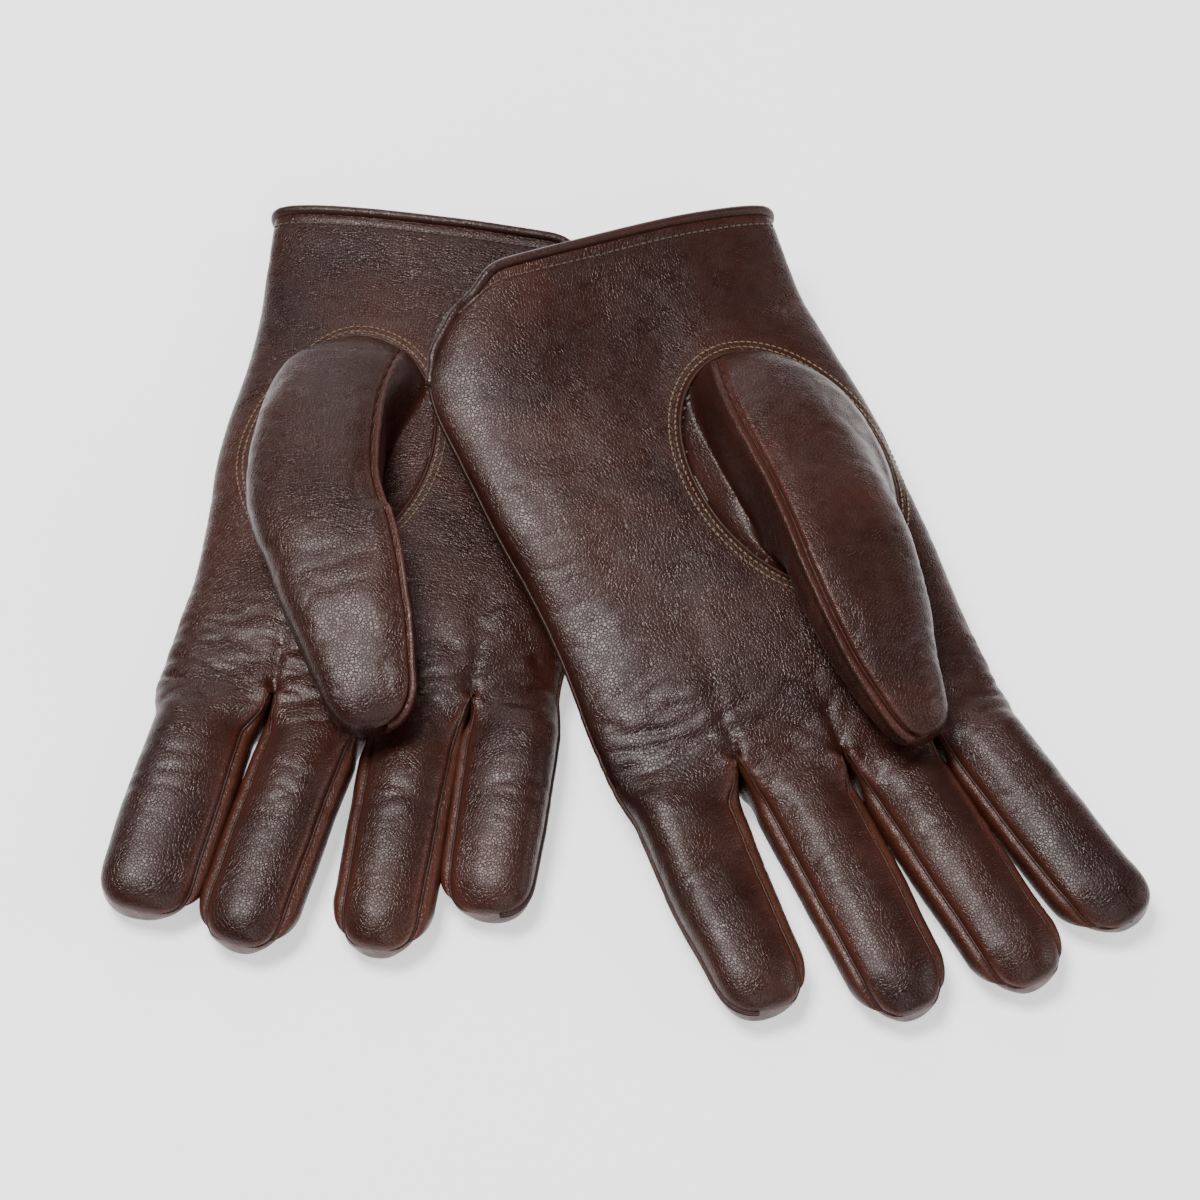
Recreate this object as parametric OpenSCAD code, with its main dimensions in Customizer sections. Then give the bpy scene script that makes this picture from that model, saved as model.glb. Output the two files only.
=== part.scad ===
// A pair of gentlemen's dress gloves in lined leather, laid palm up on a flat surface.
// The right-hand glove lies flat, and the cuff of the left-hand glove rests on it.
// Each glove is table cut: one trank of leather wraps palm and back, the thumb is a piece of
// its own set into an oval hole, and gusset strips (fourchettes) form the sides of the fingers.

/* [Trank] */
// Flat width across the palm, over the leather
palm_w = 115; // [108:1:118]
// Flat width of the cuff, over the leather
cuff_w = 113; // [106:1:116]
// Thickness of the softly filled hand at the middle of the palm
palm_t = 21; // [18:0.5:23]
// Thickness of the hand at the cuff's mouth
cuff_t = 17; // [14:0.5:18]
// Distance from the cuff's edge to the crotch between middle and ring finger
hand_len = 173; // [168:1:178]

/* [Fingers] */
// Thickness of the fingers
finger_t = 18.5; // [17:0.5:19.5]
// Distance from the finger's crotches to the crease that it bends at
bend_at = 29; // [26:1:32]
// Length of the middle finger, beyond its crotches
middle_len = 76; // [72:1:80]

/* [Thumb] */
// Half of the thumb hole's width
hole_w = 28; // [25:0.5:29]
// Half of the thumb hole's length
hole_l = 40; // [36:1:41]
// Height of the thumb over the palm, where it leaves its gusset
thumb_t = 22; // [19:0.5:23]
// Length of the thumb beyond its gusset
thumb_len = 58; // [54:1:62]

/* [Materials] */
// Thickness of the leather
leather = 1.0; // [0.8:0.1:1.2]
// Thickness of the knitted lining
knit = 1.3; // [1:0.1:1.5]
// Radius of the rolled binding at the cuff
roll_r = 1.6; // [1.3:0.1:1.8]
// Radius of the sewing thread
thread_r = 0.3; // [0.25:0.05:0.4]

/* [Hidden] */
FINGERS = ["index", "middle", "ring", "little"];
SIDES = ["right", "left"];
HAND_NODES = [
    "trank", "thumb_gusset", "index_base", "middle_base", "ring_base", "little_base",
    "index_middle_fourchette", "middle_ring_fourchette", "ring_little_fourchette",
    "hand_lining", "cuff_binding", "cuff_stitching", "thumb_stitching"
];
MOVING_NODES = [
    for (f = FINGERS) each [str(f, "_tip"), str(f, "_tip_fourchette"), str(f, "_tip_lining")],
    "thumb", "thumb_lining"
];

// How each glove lies: 0 is the right-hand one, 1 the left-hand one.
MIRRORED = [-1, 1];                  // the side of the hand that the index finger is on
CUFF_AT = [[-54.3, 124.9], [-6.8, 96.9]];  // the middle of the cuff's edge
TURNED = [-9, 22.8];                 // the way that the fingers point, from -Y
LIFT = [0, 29];                      // how far the cuff is held up by what it lies on
LIFT_TILT = [0, 0.14];               // how much more the little finger's side is held up
LIFT_END = 192;                      // where the glove reaches the ground again
FINGER_YAW = [[2.8, 7, -0.6, -2], [10, 5.9, 1.2, -4]];
FINGER_ADD = [-3, 3];                // fingers that lie more arched, or straighter
CROTCH_SHIFT = [-2.6, 6.4];
HOLE_X = [20, 27];
THUMB_YAW = [-21, -6];
THUMB_SHIFT = [-6, -2];              // the thumb leans over towards the palm
THUMB_ADD = [2, -4];
// How far the glove bows towards the little finger: [distance from the cuff, sideways].
BOW = [[[0, 0], [30, -3.5], [110, -2], [173, -1.7]], [[0, 0], [30, -8], [63, -7], [110, -4.5], [173, -3.5]]];

// The trank's outline at the fingers: edge, three crotches, edge, from the little finger.
function root_x(g, i) = [-0.5, -0.26, -0.017, 0.222, 0.5][i] * palm_w + (i % 4 == 0 ? 0 : CROTCH_SHIFT[g]);
ROOT_Y = [for (k = [-21, -10, 0, -2, -7]) hand_len + k];
function finger_len(g, f) = middle_len + [-2, 1, 0, -5][f] + FINGER_ADD[g];
finger_w = 27;                       // widest part of a finger, between its crotch and tip
panel_w = 20.6;                      // the palm's strip of leather, between its seams
hole_y = 86;                         // the thumb hole's middle, from the cuff's edge
hole_gap = 0.3;                      // between the trank and the thumb piece
fold_r = 2.5;                        // the fold under the thumb, at the front of its hole
vent_t = 0.17;                       // length of the side vent, as a share of the hand
vent_in = 10;                        // how far the vent's corners are rounded off
vent_open = 4;                       // how wide the vent opens
cuff_rise = 1.2;                     // the cuff's back stands this much off the ground
seam_gap = 0.2;                      // between leather edges that are sewn together
part_gap = 0.4;                      // between bodies that move
lining_gap = 0.15;                   // between leather and lining
BASE = [0, 0.5, 1];                  // stations of a finger's base, crotch to crease
TIP = [0, 0.3, 0.62, 0.82, 0.94, 1]; // stations of a finger's tip, crease to end
HAND = [0, 0.04, 0.09, vent_t, 0.32, 0.48, 0.64, 0.8, 0.92, 1];
LOOP = 28;                           // points around the hand
THUMB_LOOP = 16;                     // points around the thumb
GUSSET = [0, 0.22, 0.42, 0.62, 0.8, 1];
THUMB = [0, 0.3, 0.55, 0.78, 0.92, 1];

// ---------- small helpers ----------
function mix(a, b, t) = a + (b - a) * t;
function clamp(t, lo = 0, hi = 1) = min(max(t, lo), hi);
function smooth(t) = let (c = clamp(t)) c * c * (3 - 2 * c);
function signed_pow(v, e) = sign(v) * pow(abs(v), e);
function reversed(list) = [for (i = [len(list) - 1:-1:0]) list[i]];
// A value read from a table of equally important [place, value] pairs.
function table(rows, at, i = 0) =
    i >= len(rows) - 2 || at < rows[i + 1][0]
        ? mix(rows[i][1], rows[i + 1][1], clamp((at - rows[i][0]) / (rows[i + 1][0] - rows[i][0])))
        : table(rows, at, i + 1);

// ---------- from a glove's own frame to the pair's ----------
// A glove's frame: [towards the index finger, from cuff to fingers, up].
function lift(g, p) =
    let (u = clamp((LIFT_END - p[1]) / LIFT_END, -1, 1.1))
    u <= 0 ? 0 : pow(u, 1.15) * (LIFT[g] - LIFT_TILT[g] * p[0]);
function place(g, p) =
    let (x = MIRRORED[g] * (p[0] + table(BOW[g], p[1])), y = -p[1], c = cos(TURNED[g]), s = sin(TURNED[g]))
    [CUFF_AT[g][0] + x * c - y * s, CUFF_AT[g][1] + x * s + y * c, p[2] + lift(g, p)];
function place_all(g, rings) = [for (r = rings) [for (p = r) place(g, p)]];

// ---------- solids from rings of points ----------
function quad(a, b, c, d) = [[a, b, c], [a, c, d]];
function sheet_faces(n, m, base, wrap) = [
    for (i = [0:n - 2]) for (j = [0:(wrap ? m - 1 : m - 2)])
        let (k = (j + 1) % m)
        each quad(base + i * m + j, base + i * m + k, base + (i + 1) * m + k, base + (i + 1) * m + j)
];
function end_faces(m, row, base, wrap) = [
    for (j = [0:(wrap ? m - 1 : m - 2)])
        let (k = (j + 1) % m)
        each quad(row + j, base + row + j, base + row + k, row + k)
];
module solid(g, points, faces) {
    polyhedron(points, MIRRORED[g] < 0 ? faces : [for (f = faces) reversed(f)]);
}
// A thick sheet with four edges: outer and inner are grids of points, one row per station.
module strip(g, outer, inner) {
    n = len(outer);
    m = len(outer[0]);
    b = n * m;
    edges = [
        for (i = [0:n - 2]) each concat(
            quad(i * m, (i + 1) * m, b + (i + 1) * m, b + i * m),
            quad(i * m + m - 1, b + i * m + m - 1, b + (i + 1) * m + m - 1, (i + 1) * m + m - 1)
        )
    ];
    faces = concat(
        sheet_faces(n, m, 0, false), [for (f = sheet_faces(n, m, b, false)) reversed(f)],
        end_faces(m, 0, b, false), [for (f = end_faces(m, (n - 1) * m, b, false)) reversed(f)],
        edges
    );
    solid(g, [for (r = place_all(g, outer)) each r, for (r = place_all(g, inner)) each r], faces);
}
// A tube with walls, open at both ends.
module tube(g, outer, inner) {
    n = len(outer);
    m = len(outer[0]);
    faces = concat(
        sheet_faces(n, m, 0, true), [for (f = sheet_faces(n, m, n * m, true)) reversed(f)],
        end_faces(m, 0, n * m, true),
        [for (f = end_faces(m, (n - 1) * m, n * m, true)) reversed(f)]
    );
    solid(g, [for (r = place_all(g, outer)) each r, for (r = place_all(g, inner)) each r], faces);
}
function centre(ring) = [for (k = [0:2]) let (v = [for (p = ring) p[k]]) v * [for (x = v) 1] / len(v)];
function fan(m, row, tip) = [for (j = [0:m - 1]) [row + j, row + (j + 1) % m, tip]];
// A tube with walls, closed at its last ring.
module sleeve(g, outer, inner) {
    n = len(outer);
    m = len(outer[0]);
    b = n * m;
    last = (n - 1) * m;
    faces = concat(
        sheet_faces(n, m, 0, true), [for (f = sheet_faces(n, m, b, true)) reversed(f)],
        end_faces(m, 0, b, true),
        fan(m, last, 2 * b), [for (f = fan(m, b + last, 2 * b + 1)) reversed(f)]
    );
    points = [
        for (r = place_all(g, outer)) each r, for (r = place_all(g, inner)) each r,
        place(g, centre(outer[n - 1])), place(g, centre(inner[n - 1]))
    ];
    solid(g, points, faces);
}
// A solid plug between its first and last ring.
module plug(g, rings) {
    n = len(rings);
    m = len(rings[0]);
    faces = concat(
        sheet_faces(n, m, 0, true), [for (f = fan(m, 0, n * m)) reversed(f)],
        fan(m, (n - 1) * m, n * m + 1)
    );
    points = [
        for (r = place_all(g, rings)) each r,
        place(g, centre(rings[0])), place(g, centre(rings[n - 1]))
    ];
    solid(g, points, faces);
}
// A round cord swept along points of the glove's frame; closed joins its ends.
function unit(v) = v / norm(v);
function cord_ring(path, i, r, sides, closed) =
    let (
        n = len(path),
        before = path[closed ? (i + n - 1) % n : max(i - 1, 0)],
        after = path[closed ? (i + 1) % n : min(i + 1, n - 1)],
        along = unit(after - before),
        side = unit(cross(along, [0, 0, 1])),
        up = cross(side, along)
    )
    [for (k = [0:sides - 1]) path[i] + r * (cos(k * 360 / sides) * side + sin(k * 360 / sides) * up)];
module cord(path, r, sides, closed) {
    n = len(path);
    rings = [for (i = [0:n - 1]) cord_ring(path, i, r, sides, closed)];
    walls = [
        for (i = [0:(closed ? n - 1 : n - 2)]) for (k = [0:sides - 1])
            let (l = (k + 1) % sides, o = ((i + 1) % n) * sides)
            each quad(i * sides + k, i * sides + l, o + l, o + k)
    ];
    ends = closed ? [] : [reversed([for (k = [0:sides - 1]) k]), [for (k = [0:sides - 1]) (n - 1) * sides + k]];
    polyhedron([for (r = rings) each r], concat(walls, ends));
}

// ---------- the hand ----------
function hand_half_w(t) = table([[0, cuff_w - palm_w], [0.17, 5], [0.35, 3], [0.65, 0], [1, 0]], t) / 2 + palm_w / 2;
function hand_half_t(t) = table([[0, cuff_t], [0.18, cuff_t + 1.5], [0.5, palm_t], [0.85, palm_t], [1, finger_t + 0.5]], t) / 2;
function root_y(g, x) = table([for (i = [0:4]) [root_x(g, i), ROOT_Y[i]]], x);
top_n = 2.5;                         // how square the hand's section is, above its seam
bottom_n = 4;                        // and below it
flat = 1.15;                         // how much of the back lies flat on the ground
function hand_point(g, t, angle, inset) =
    let (
        n = sin(angle) >= 0 ? top_n : bottom_n,
        c = signed_pow(cos(angle), 2 / n),
        s = max(-1, signed_pow(sin(angle), 2 / n) * (n == bottom_n ? flat : 1)),
        x = (hand_half_w(t) - inset) * c,
        vent = vent_in * pow(clamp(1 - t / vent_t), 1.5) * smooth((-c - 0.55) / 0.45),
        half = hand_half_t(t)
    )
    [x + vent, root_y(g, x) * t + 0.6 * vent, half + (half - inset) * s + cuff_rise * (1 - smooth(t / 0.16))];
function hand_ring(g, t, inset) = [for (j = [0:LOOP - 1]) hand_point(g, t, j * 360 / LOOP - 180, inset)];
// The same, as an open row that starts and ends at the side seam.
function hand_row(g, t, inset) = [
    for (j = [0:LOOP])
        let (
            p = hand_point(g, t, j * 360 / LOOP - 180, inset),
            gap = seam_gap / 2 + vent_open / 2 * clamp(1 - t / vent_t)
        )
        j == 0 ? p - [0, 0, gap] : j == LOOP ? p + [0, 0, gap] : p
];
// Height of the palm's surface over a point.
function palm_z(g, x, y, inset = 0) =
    let (
        t = clamp(y / root_y(g, x)),
        half = hand_half_t(t),
        c = clamp(abs(x) / (hand_half_w(t) - inset))
    )
    half + (half - inset) * pow(1 - pow(c, top_n), 1 / top_n) + cuff_rise * (1 - smooth(t / 0.16));

// ---------- the thumb's hole and gusset ----------
function hole_ring(g, grow, h) = [
    for (j = [0:THUMB_LOOP - 1])
        let (a = 360 * j / THUMB_LOOP)
        [HOLE_X[g] + (hole_w + grow) * cos(a), hole_y - (hole_l + grow) * sin(a), h]
];
module hole_cutter(g) {
    plug(g, [hole_ring(g, hole_gap, palm_t / 2 + 0.5), hole_ring(g, hole_gap, 2 * palm_t)]);
}
module trank(g) {
    color([0.23, 0.13, 0.11]) difference() {
        strip(g, [for (t = HAND) hand_row(g, t, 0)], [for (t = HAND) hand_row(g, t, leather)]);
        hole_cutter(g);
    }
}
// The gusset leans over from the hole, about a fold at the hole's front, until it is upright.
pivot_y = hole_y + hole_l + fold_r;
function over(g) = palm_z(g, HOLE_X[g], pivot_y) + 0.6;  // height of the thumb's underside, less the fold
function thumb_half_w(d) = table([[0, 20.5], [0.3, 19.5], [0.55, 17.2], [0.78, 13.5], [0.92, 9.5], [1, 4.5]], d);
function thumb_half_h(d) = table([[0, (thumb_t - fold_r) / 2], [0.55, 8.6], [0.78, 7.2], [0.92, 5], [1, 2.4]], d);
thumb_n = 2.3;
function gusset_point(g, s, a, inset) =
    let (
        back = (2 * hole_l + fold_r) * pow(cos(90 * s), 1.3),
        rise = thumb_t * pow(sin(90 * s), 1.3),
        tilt = atan2(rise, back),
        reach = norm([back, rise]),
        half = (reach - fold_r) / 2 - inset,
        mid = fold_r + (reach - fold_r) / 2,
        side = (mix(hole_w, 20.5, smooth(s * 1.15)) - inset) * signed_pow(cos(a), 2 / mix(2, thumb_n, s)),
        r = mid + half * signed_pow(sin(a), 2 / mix(2, thumb_n, s)),
        yaw = THUMB_YAW[g] * s * s,
        x = HOLE_X[g] + side * cos(yaw) - r * cos(tilt) * sin(yaw) + THUMB_SHIFT[g] * s * s,
        y = pivot_y - side * sin(yaw) - r * cos(tilt) * cos(yaw)
    )
    [x, y, mix(palm_z(g, x, y), over(g), smooth(3 * s)) + r * sin(tilt) - (s == 0 ? inset : 0)];
function gusset_ring(g, s, inset) = [for (j = [0:THUMB_LOOP - 1]) gusset_point(g, s, 360 * j / THUMB_LOOP, inset)];
function thumb_point(g, d, a, inset, start) =
    let (
        out = start + d * (thumb_len + THUMB_ADD[g] - start),
        side = (thumb_half_w(d) - inset) * signed_pow(cos(a), 2 / thumb_n),
        up = (thumb_half_h(d) - inset) * signed_pow(sin(a), 2 / thumb_n),
        yaw = THUMB_YAW[g],
        sink = 5 * d * d
    )
    [
        HOLE_X[g] + THUMB_SHIFT[g] + side * cos(yaw) + out * sin(yaw),
        pivot_y - side * sin(yaw) + out * cos(yaw),
        over(g) + thumb_t - thumb_half_h(0) + up - sink
    ];
function thumb_ring(g, d, inset, start = part_gap) =
    [for (j = [0:THUMB_LOOP - 1]) thumb_point(g, d, 360 * j / THUMB_LOOP, inset, start)];
module thumb_gusset(g) {
    color([0.25, 0.14, 0.12])
        tube(g, [for (s = GUSSET) gusset_ring(g, s, 0)], [for (s = GUSSET) gusset_ring(g, s, leather)]);
}
module thumb(g) {
    color([0.25, 0.14, 0.12])
        sleeve(g, [for (d = THUMB) thumb_ring(g, d, 0)], [for (d = THUMB) thumb_ring(g, d * 0.97, leather)]);
}

// ---------- the fingers ----------
// Sections of a finger, at a distance beyond its crotches: 14 points from the index side.
function lane(g, f) = (root_x(g, 4 - f) - root_x(g, 3 - f)) / 2 - 0.3;
function finger_half_w(g, f, d) =
    let (l = finger_len(g, f), body = finger_w / 2 + (f == 0 ? 1 : 0))
    table([[0, lane(g, f)], [12, body], [l * 0.72, body - 0.4], [l - 12, body - 1.6],
        [l - 5, body * 0.68], [l - 1.5, body * 0.42], [l, 3.8]], d);
function panel_half_w(g, f, d) =
    let (l = finger_len(g, f), body = panel_w / 2 + (f == 0 ? 2 : 0))
    table([[0, lane(g, f) - 0.6], [12, body], [l - 12, body - 1], [l - 5, body * 0.7], [l - 1.5, body * 0.4], [l, 3]], d);
function finger_half_t(g, f, d) =
    let (l = finger_len(g, f))
    table([[0, finger_t + 0.5], [bend_at, finger_t], [l - 14, finger_t - 2.5], [l - 5, 11], [l, 2 * leather + 2.4]], d) / 2;
function finger_mid_z(g, f, d) =
    let (s = d / finger_len(g, f))
    table([[0, (finger_t + 0.5) / 2], [0.35, finger_t / 2 + 2.4], [0.8, finger_t / 2 - 1.25], [1, finger_t / 2 - 3]], s);
function finger_point(g, f, d, k, inset) =
    let (
        w = finger_half_w(g, f, d) - inset,
        p = min(panel_half_w(g, f, d) - 0.4 * inset, w - 0.1),
        h = finger_half_t(g, f, d) - inset,
        c = 0.66 * finger_half_t(g, f, d) - 0.85 * inset,
        b = p + 0.72 * (w - p),
        section = [
            [w, 0], [b, 0.6 * c], [p, c], [p / 3, h], [-p / 3, h], [-p, c], [-b, 0.6 * c],
            [-w, 0], [-b, -0.6 * c], [-p, -c], [-p / 3, -h], [p / 3, -h], [p, -c], [b, -0.6 * c]
        ],
        q = section[k % 14],
        x0 = (root_x(g, 4 - f) + root_x(g, 3 - f)) / 2,
        y0 = (ROOT_Y[4 - f] + ROOT_Y[3 - f]) / 2,
        slope = (ROOT_Y[4 - f] - ROOT_Y[3 - f]) / (root_x(g, 4 - f) - root_x(g, 3 - f)),
        shear = slope * clamp(1 - d / (0.8 * bend_at)),
        yaw = FINGER_YAW[g][f],
        turn = yaw * smooth(d / 12),
        out = d + part_gap / 2 + shear * q[0]
    )
    [x0 + q[0] * cos(turn) + out * sin(yaw), y0 - q[0] * sin(turn) + out * cos(yaw), finger_mid_z(g, f, d) + q[1]];
function seam_shift(f, k, from, to) =
    f < 3 || k != 7 || to - from > 8 ? [0, 0, 0] : [0, 0, (from == 7 ? -0.5 : 0.5) * seam_gap];
function finger_grid(g, f, stations, from, to, inset) = [
    for (d = stations)
        [for (k = [from:to]) finger_point(g, f, d, k, inset) + seam_shift(f, k, from, to)]
];
function base_stations() = [for (s = BASE) s * bend_at - (s == 1 ? part_gap / 2 : 0)];
function tip_stations(g, f) = [for (s = TIP) mix(bend_at + part_gap / 2, finger_len(g, f), s)];
// The columns of each piece: the index finger's outer side is a fold, the little finger's a seam.
function leather_columns(f) =
    f == 0 ? [[9, 19]] : f == 3 ? [[2, 7], [7, 12]] : [[2, 5], [9, 12]];
module finger_leather(g, f, stations) {
    color([0.22, 0.12, 0.1]) for (c = leather_columns(f))
        strip(g, finger_grid(g, f, stations, c[0], c[1], 0), finger_grid(g, f, stations, c[0], c[1], leather));
}
module finger_side(g, f, stations, little_side) {
    c = little_side ? [5, 9] : [12, 16];
    color([0.27, 0.13, 0.09])
        strip(g, finger_grid(g, f, stations, c[0], c[1], 0), finger_grid(g, f, stations, c[0], c[1], leather));
}
// The gusset strips in the gap between finger f and the next one, up to the creases.
module fourchette(g, f) {
    finger_side(g, f, base_stations(), true);
    finger_side(g, f + 1, base_stations(), false);
}
module tip_fourchette(g, f) {
    if (f < 3) finger_side(g, f, tip_stations(g, f), true);
    if (f > 0) finger_side(g, f, tip_stations(g, f), false);
}

// ---------- the lining ----------
lining_out = leather + lining_gap;
lining_in = lining_out + knit;
module hand_lining(g) {
    color([0.32, 0.27, 0.23]) {
        difference() {
            tube(g, [for (t = HAND) hand_ring(g, max(t, 0.02), lining_out)],
                [for (t = HAND) hand_ring(g, max(t, 0.02), lining_in)]);
            hole_cutter(g);
        }
        for (f = [0:3])
            tube(g, finger_grid(g, f, base_stations(), 0, 13, lining_out),
                finger_grid(g, f, base_stations(), 0, 13, lining_in));
        tube(g, [for (s = GUSSET) gusset_ring(g, s, lining_out)], [for (s = GUSSET) gusset_ring(g, s, lining_in)]);
    }
}
// Its stations are the leather's, up to the last but one, so that the gap between them holds.
function tip_lining_stations(g, f, end = 0) =
    [for (i = [0:len(TIP) - 2]) tip_stations(g, f)[i] - (i == len(TIP) - 2 ? end : 0)];
module tip_lining(g, f) {
    color([0.32, 0.27, 0.23])
        sleeve(g, finger_grid(g, f, tip_lining_stations(g, f), 0, 13, lining_out),
            finger_grid(g, f, tip_lining_stations(g, f, knit), 0, 13, lining_in));
}
module thumb_lining(g) {
    color([0.32, 0.27, 0.23])
        sleeve(g, [for (d = THUMB) thumb_ring(g, d * 0.94, lining_out)],
            [for (d = THUMB) thumb_ring(g, d * 0.9, lining_in)]);
}

// ---------- binding and stitching ----------
module cuff_binding(g) {
    edge = hand_row(g, 0, leather);
    along = [for (j = [0:LOOP]) unit(edge[min(j + 1, LOOP)] - edge[max(j - 1, 0)])];
    path = [
        for (j = [0:LOOP])
            place(g, edge[j] - [0, (roll_r + part_gap) / sqrt(1 - along[j][1] * along[j][1]), 0])
    ];
    color([0.17, 0.1, 0.08]) cord(path, roll_r, 8, false);
}
module cuff_stitching(g) {
    path = [for (j = [1:LOOP - 1]) place(g, hand_point(g, 0.035, j * 360 / LOOP - 180, -2 * thread_r))];
    color([0.1, 0.07, 0.05]) cord(path, thread_r, 6, false);
}
module thumb_stitching(g) {
    color([0.33, 0.26, 0.17]) for (grow = [1.6, 3.6])
        cord([
            for (p = hole_ring(g, grow, 0))
                place(g, [p[0], p[1], palm_z(g, p[0], p[1], -3 * thread_r)])
        ], thread_r, 6, true);
}

module glove(g, part) {
    if (part == "trank") trank(g);
    if (part == "thumb_gusset") thumb_gusset(g);
    if (part == "thumb") thumb(g);
    if (part == "hand_lining") hand_lining(g);
    if (part == "thumb_lining") thumb_lining(g);
    if (part == "cuff_binding") cuff_binding(g);
    if (part == "cuff_stitching") cuff_stitching(g);
    if (part == "thumb_stitching") thumb_stitching(g);
    for (f = [0:3]) {
        if (part == str(FINGERS[f], "_base")) finger_leather(g, f, base_stations());
        if (part == str(FINGERS[f], "_tip")) finger_leather(g, f, tip_stations(g, f));
        if (part == str(FINGERS[f], "_tip_fourchette")) tip_fourchette(g, f);
        if (part == str(FINGERS[f], "_tip_lining")) tip_lining(g, f);
        if (f < 3 && part == str(FINGERS[f], "_", FINGERS[f + 1], "_fourchette")) fourchette(g, f);
    }
}
for (g = [0, 1]) for (part = concat(HAND_NODES, MOVING_NODES))
    glove(g, part);
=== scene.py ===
"""Looks of a pair of lined leather dress gloves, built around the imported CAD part.

Everything is worked out in a glove's own frame, in millimetres:
x towards the index finger, y from the cuff to the fingers, z up out of the palm.
place() then lays the glove where the CAD part has it. The dimensions have the CAD part's names.
"""
import math

import bpy
import numpy as np
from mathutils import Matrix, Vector
from mathutils.kdtree import KDTree


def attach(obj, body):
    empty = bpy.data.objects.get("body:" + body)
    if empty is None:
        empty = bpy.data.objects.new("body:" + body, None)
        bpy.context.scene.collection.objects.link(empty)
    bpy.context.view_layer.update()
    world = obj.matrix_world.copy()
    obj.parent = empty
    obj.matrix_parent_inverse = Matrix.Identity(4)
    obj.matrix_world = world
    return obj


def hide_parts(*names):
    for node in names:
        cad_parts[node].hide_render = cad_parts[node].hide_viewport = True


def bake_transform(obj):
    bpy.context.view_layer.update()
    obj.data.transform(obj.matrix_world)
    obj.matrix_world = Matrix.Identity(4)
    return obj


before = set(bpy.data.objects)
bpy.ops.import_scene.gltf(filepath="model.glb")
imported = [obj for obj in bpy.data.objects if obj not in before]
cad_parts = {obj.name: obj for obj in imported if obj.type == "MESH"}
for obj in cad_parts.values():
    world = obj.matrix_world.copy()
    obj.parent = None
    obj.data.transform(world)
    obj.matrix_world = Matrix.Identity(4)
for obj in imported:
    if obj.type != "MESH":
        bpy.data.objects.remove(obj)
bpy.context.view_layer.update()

# ---------------------------------------------------------------- driving dimensions (mm)
PALM_W, CUFF_W, PALM_T, CUFF_T, HAND_LEN = 115.0, 113.0, 21.0, 17.0, 173.0
FINGER_T, FINGER_W, BEND_AT, MIDDLE_LEN = 18.5, 27.0, 29.0, 76.0
HOLE_W, HOLE_L, HOLE_Y, FOLD_R = 28.0, 40.0, 86.0, 2.5
THUMB_T, THUMB_LEN = 22.0, 58.0
CUFF_RISE, VENT_T, VENT_IN, VENT_OPEN = 1.2, 0.17, 10.0, 4.0
ROLL_R = 1.6
LINING_IN = 2.3
TOP_N, BOTTOM_N, FLAT = 2.5, 4.0, 1.15

SIDES = ("right", "left")
FINGERS = ("index", "middle", "ring", "little")
MIRRORED = (-1, 1)
CUFF_AT = ((-54.3, 124.9), (-6.8, 96.9))
TURNED = (-9.0, 22.8)
LIFT = (0.0, 29.0)
LIFT_TILT = (0.0, 0.14)
LIFT_END = 192.0
FINGER_YAW = ((2.8, 7.0, -0.6, -2.0), (10.0, 5.9, 1.2, -4.0))
FINGER_ADD = (-3.0, 3.0)
CROTCH_SHIFT = (-4.3, 4.6)
HOLE_X = (20.0, 27.0)
THUMB_SHIFT = (-7.5, -2.0)
THUMB_ADD = (4.0, -4.0)
BOW = (
    ((0, 0), (30, -3.5), (110, -2), (173, -1.7)),
    ((0, 0), (30, -8), (63, -7), (110, -4.5), (173, -3.5)),
)
# How far the soft outline is pulled in from the plain one: (distance from the cuff, inwards), in mm.
# These are measurements: the differences between the photo's outline and the plain one's.
TRIM_INDEX = (
    ((0, 3.2), (15, 4.5), (40, 6.6), (60, 6.2), (80, 4.0), (95, 3.0), (112, 4.5),
     (130, 5.8), (145, 5.0), (160, 3.8), (178, 1.5), (200, 0.0), (220, -1.5), (245, -2.0)),
    ((0, 3.0), (11, 3.1), (25, 2.0), (39, 0.0), (77, -1.3), (102, 0.0), (123, 1.5),
     (137, 2.8), (164, 3.0), (178, 3.8), (200, 3.8), (230, 3.0), (250, 0.5)),
)
TRIM_LITTLE = (
    ((0, 0.0), (250, 0.0)),
    ((0, 0.0), (95, 0.0), (130, -1.8), (170, -2.4), (195, -1.0), (215, 1.0), (240, 2.6)),
)
INDEX_OUTER = (0.0, -2.2)      # the index finger's outer side, beyond its plain width
FINGER_MORE = 2.8              # the drawn fingertip reaches this much beyond its plain solid
ROOT_K = (-0.5, -0.26, -0.017, 0.222, 0.5)
ROOT_Y = np.array((-21.0, -10.0, 0.0, -2.0, -7.0)) + HAND_LEN

# ---------------------------------------------------------------- resolution
ROWS = 190        # along the hand
LANE = 26         # columns of a finger's palm strip
WALL = 14         # columns of a fourchette
FROWS = 92        # along a finger
TCOLS = 120       # round the thumb
GROWS, TROWS = 64, 70

# ---------------------------------------------------------------- seams and stitches (m)
PROUD = 0.0001            # how far seams and stitches stand off the leather
WELT_R, THUMB_WELT_R, HOLE_EDGE_R = 0.00045, 0.00035, 0.00055
SIDE_SEAM_R, SIDE_SEAM_APART = 0.0005, 0.00055
CUFF_STITCH_AT = 4.6      # mm below the cuff's edge
CUFF_STITCH = (0.0021, 0.0014, 0.0003)      # pitch, length, radius
THUMB_STITCH = (0.0019, 0.00145, 0.00024)
THUMB_STITCH_AT = (1.7, 3.5)                # mm outside the thumb's hole


# ---------------------------------------------------------------- small helpers
def table(rows, at):
    rows = np.asarray(rows, float)
    return np.interp(at, rows[:, 0], rows[:, 1])


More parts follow.
